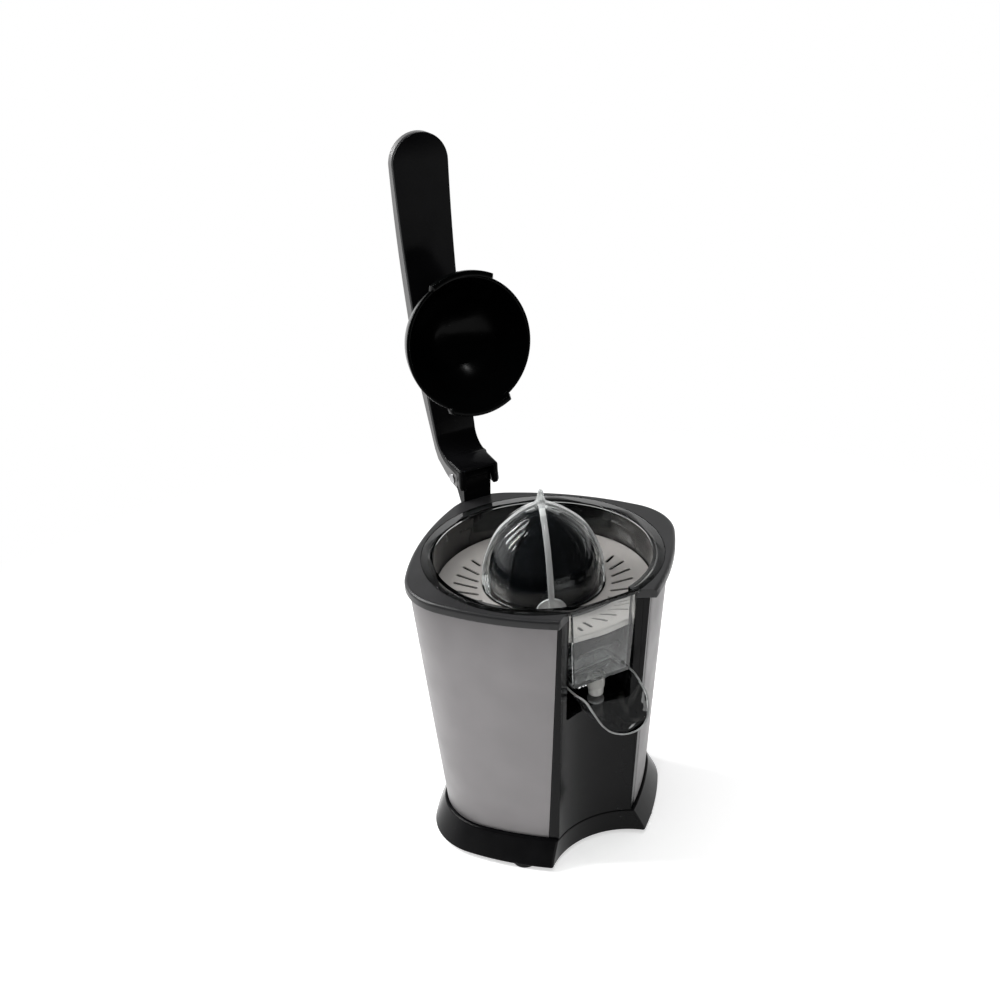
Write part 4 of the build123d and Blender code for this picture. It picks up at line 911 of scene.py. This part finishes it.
# %% Blades and feet of the clear cone
BLADE_OUT, BLADE_WIDTH = 1.4, 3.6
PAD_HALF, PAD_HEIGHT, PAD_FOOT, PAD_IN, PAD_OUT = 9.2, 8.8, 169.3, 34.6, 37.15
edge = smooth_through([
    (DOME_R + 0.8, 171.0), (35.8 + 1.4, 178.0), (33.5 + BLADE_OUT * 0.95, 190.6),
    (25.6 + BLADE_OUT * 0.8, 206 + BLADE_OUT * 0.6), (13.0 + BLADE_OUT * 0.5, 217 + BLADE_OUT * 0.85), (3.0, 223.4),
])
large_side = edge + [
    (1.6, 223.6), (1.6, 220.4), (12.6, 216.6), (24.9, 205.7), (32.5, 190.4), (34.8, 181), (35.0, 171)]
turns = [CONE_TURN + radians(90 * i) for i in range(4)]
large_blades = blade("large_blade", large_side, BLADE_WIDTH, turns)
soft_edges(large_blades, 0.45, 2, 50)
# The blades take the white edge plastic, as painted highlight.
large_blades.data.materials.append(edge_glint_white)
cut(large_cone, large_blades, "UNION")


def half_disc(name, turns):
    """The half-round foot at the end of each blade."""
    made = []
    arc = [(PAD_HALF * cos(radians(a)), PAD_FOOT + PAD_HEIGHT * sin(radians(a))) for a in range(0, 181, 10)]
    for turn in turns:
        piece = through_rows(name, [[(sqrt(r * r - y * y), y, z) for y, z in arc] for r in (PAD_IN, PAD_OUT)])
        piece.rotation_euler = (0, 0, turn)
        made.append(piece)
    return joined(made)


feet = half_disc("blade_foot", turns)
soft_edges(feet, 0.5, 2)
# The feet take the white edge plastic too, as painted highlight.
feet.data.materials.append(edge_glint_white)
cut(large_cone, feet, "UNION")
# The spike above its foot takes the white edge plastic as well, as painted highlight on its edges.
edge_glint_slot = large_cone.data.materials.find("edge_glint_white")
for face in large_cone.data.polygons:
    if face.center.z > SPIKE_FOOT * MM:
        face.material_index = edge_glint_slot
smooth(large_cone, 35)
dress(large_cone, None, "large_cone", "clear", "large_cone")

# %% [markdown]
# ## Juice bowl
# The clear bowl hangs in the rim by its flange, carries the strainer on a ledge, and ends in a box-shaped chute in
# front. It could be turned and the chute joined on, but the CAD bowl has both already, so it is copied and its edges
# are rounded until they catch light. The white nozzle under the chute is turned and then moved to its place.

# %% Bowl
NOZZLE_Y = -58
bowl = rounded_copy("juice_bowl", 0.35)
dress(bowl, clear, "bowl", "clear", "juice_bowl")
nozzle_profile = rounded([(2.6, 135.0), (5.4, 135.0), (5.4, 127.2), (4.7, 126.4), (4.5, 121.6), (2.6, 121.6)], 0.6, 3,
                         closed=True)
nozzle = turned("juice_nozzle", nozzle_profile + nozzle_profile[:1], 64)
pick_up(nozzle)
bpy.ops.transform.translate(value=(0, NOZZLE_Y * MM, 0))
bpy.ops.object.transform_apply()
smooth(nozzle)
dress(nozzle, white_plastic, "bowl", "white", "outlet_nozzle")

# %% [markdown]
# ## Spout
# The spout is a clear spoon under the nozzle. Its sides lean inwards to a narrow floor, and its rim runs level along
# the sides and falls to a round tip. A bevelled box would keep its walls straight, so its skin is pulled from ring to
# ring: out over the underside, up to the rim, over it, and down the inside to the floor.

# %% Rings of the spout
SPOUT_HALF, BACK_HALF, SPOUT_BACK, TIP_MIDDLE, TIP_END = 19.0, 21.3, -42.8, -81.5, -98.4
SPOUT_WALL = 1.3
NARROW_FROM, NARROW_OVER = -66, 14
STEEPNESS, STEEP_TO, STEEP_FADE = 0.8, 3.9, 1.5
spout_rim = smooth_through([(SPOUT_BACK, 133.6), (-60, 134.2), (-74, 134.2), (-78, 133.4), (-82, 131.8), (-86, 129.0),
                            (-90, 124.6), (-94, 120.6), (-98.2, 118.2)], 6)
spout_floor = [(SPOUT_BACK, 117.5), (-50, 115.4), (-86, 113.4), (-98.2, 113.8)]


def height_on(y, line):
    """The height of a side-view line at a distance y, between its points."""
    for (y0, z0), (y1, z1) in zip(line, line[1:]):
        if y1 <= y <= y0:
            return z0 + (z1 - z0) * (y - y0) / (y1 - y0)
    return line[0][1] if y > line[0][0] else line[-1][1]


def wall_at(y, inset):
    """Where a side wall stands: wide and steep beside the chute, which it swings past, narrower and sloped in front."""
    share = min(1.0, max(0.0, (NARROW_FROM - y) / NARROW_OVER))
    share = share * share * (3 - 2 * share)
    steep = STEEPNESS * (1 - share) * min(1.0, max(0.0, (STEEP_TO - inset) / STEEP_FADE))
    sloped = inset if inset < SPOUT_WALL else SPOUT_WALL + (inset - SPOUT_WALL) * (1 - steep)
    return BACK_HALF + (SPOUT_HALF - BACK_HALF) * share - sloped


def spout_ring(inset, depth, lift=0.0):
    """One ring of the spout: its plan moved inwards, at a share of the way from the rim to the floor."""
    back_y = SPOUT_BACK - min(inset, SPOUT_WALL * 1.2)
    sides = [SPOUT_BACK + (TIP_MIDDLE - SPOUT_BACK) * i / 18 for i in range(1, 18)]
    plan = [(-wall_at(y, inset), min(y, back_y), y) for y in sides]
    for i in range(41):
        a = pi + pi * i / 40
        y = TIP_MIDDLE - (TIP_END - TIP_MIDDLE) * sin(a)
        plan.append(((SPOUT_HALF - inset) * cos(a), y - sin(a) * inset * 0.75, y))
    plan += [(wall_at(y, inset), min(y, back_y), y) for y in reversed(sides)]
    plan += [(wall_at(SPOUT_BACK, inset) * (1 - i / 4), back_y, SPOUT_BACK) for i in range(9)]
    ring = []
    for x, y, rim_y in plan:
        rim_z, floor_z = height_on(rim_y, spout_rim), height_on(y, spout_floor)
        ring.append((x, y, rim_z + (floor_z - rim_z) * depth + lift))
    return ring


# How far each ring of the underside is moved inwards, and its share of the way down.
underside = [(18.0, 1.0), (14.0, 1.0), (11.0, 0.985), (9.2, 0.93), (7.4, 0.82), (5.0, 0.62), (2.6, 0.36), (1.0, 0.16),
             (0.15, 0.05)]
spout_rings = [spout_ring(inset, depth) for inset, depth in underside]
spout_rings += [spout_ring(0.0, 0.0, -0.55), spout_ring(0.15, 0.0, -0.12), spout_ring(0.4, 0.0), spout_ring(0.9, 0.0),
                spout_ring(1.2, 0.0, -0.12), spout_ring(1.35, 0.0, -0.6)]
spout_rings += [spout_ring(min(inset + SPOUT_WALL, 18.2), depth, 1.4 * min(1.0, depth * 1.5))
                for inset, depth in underside[::-1] if inset < 16]
spout = through_rows("clear_spout", spout_rings)
smooth(spout, 50)
spout.data.materials.append(clear)
spout.data.materials.append(edge_glint_white)
# The faces along the rim take the white edge plastic, as painted highlight on the rim.
for face in spout.data.polygons:
    near_rim = face.center.z / MM > height_on(face.center.y / MM, spout_rim) - 0.5
    face.material_index = 1 if near_rim else 0
dress(spout, None, "spout", "clear", "spout")

# %% [markdown]
# ## Return spring
# The spring under the gear pushes the cone up again when the arm is raised. The CAD shape is right, so it is copied and
# given a mesh of its own. A real spring gets shorter under the press.

# %% Spring
spring = merged_copy("return_spring")
smooth(spring, 50)
dress(spring, plain_steel, "base", "steel", "return_spring")
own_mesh(spring)

# %% [markdown]
# ## Feet
# Five rubber pads carry the press. Only one of them shows, so the CAD shapes are copied and get a soft edge.

# %% Feet
pads = rounded_copy("rubber_feet", 0.4)
dress(pads, rubber, "base", "rubber", "rubber_feet")
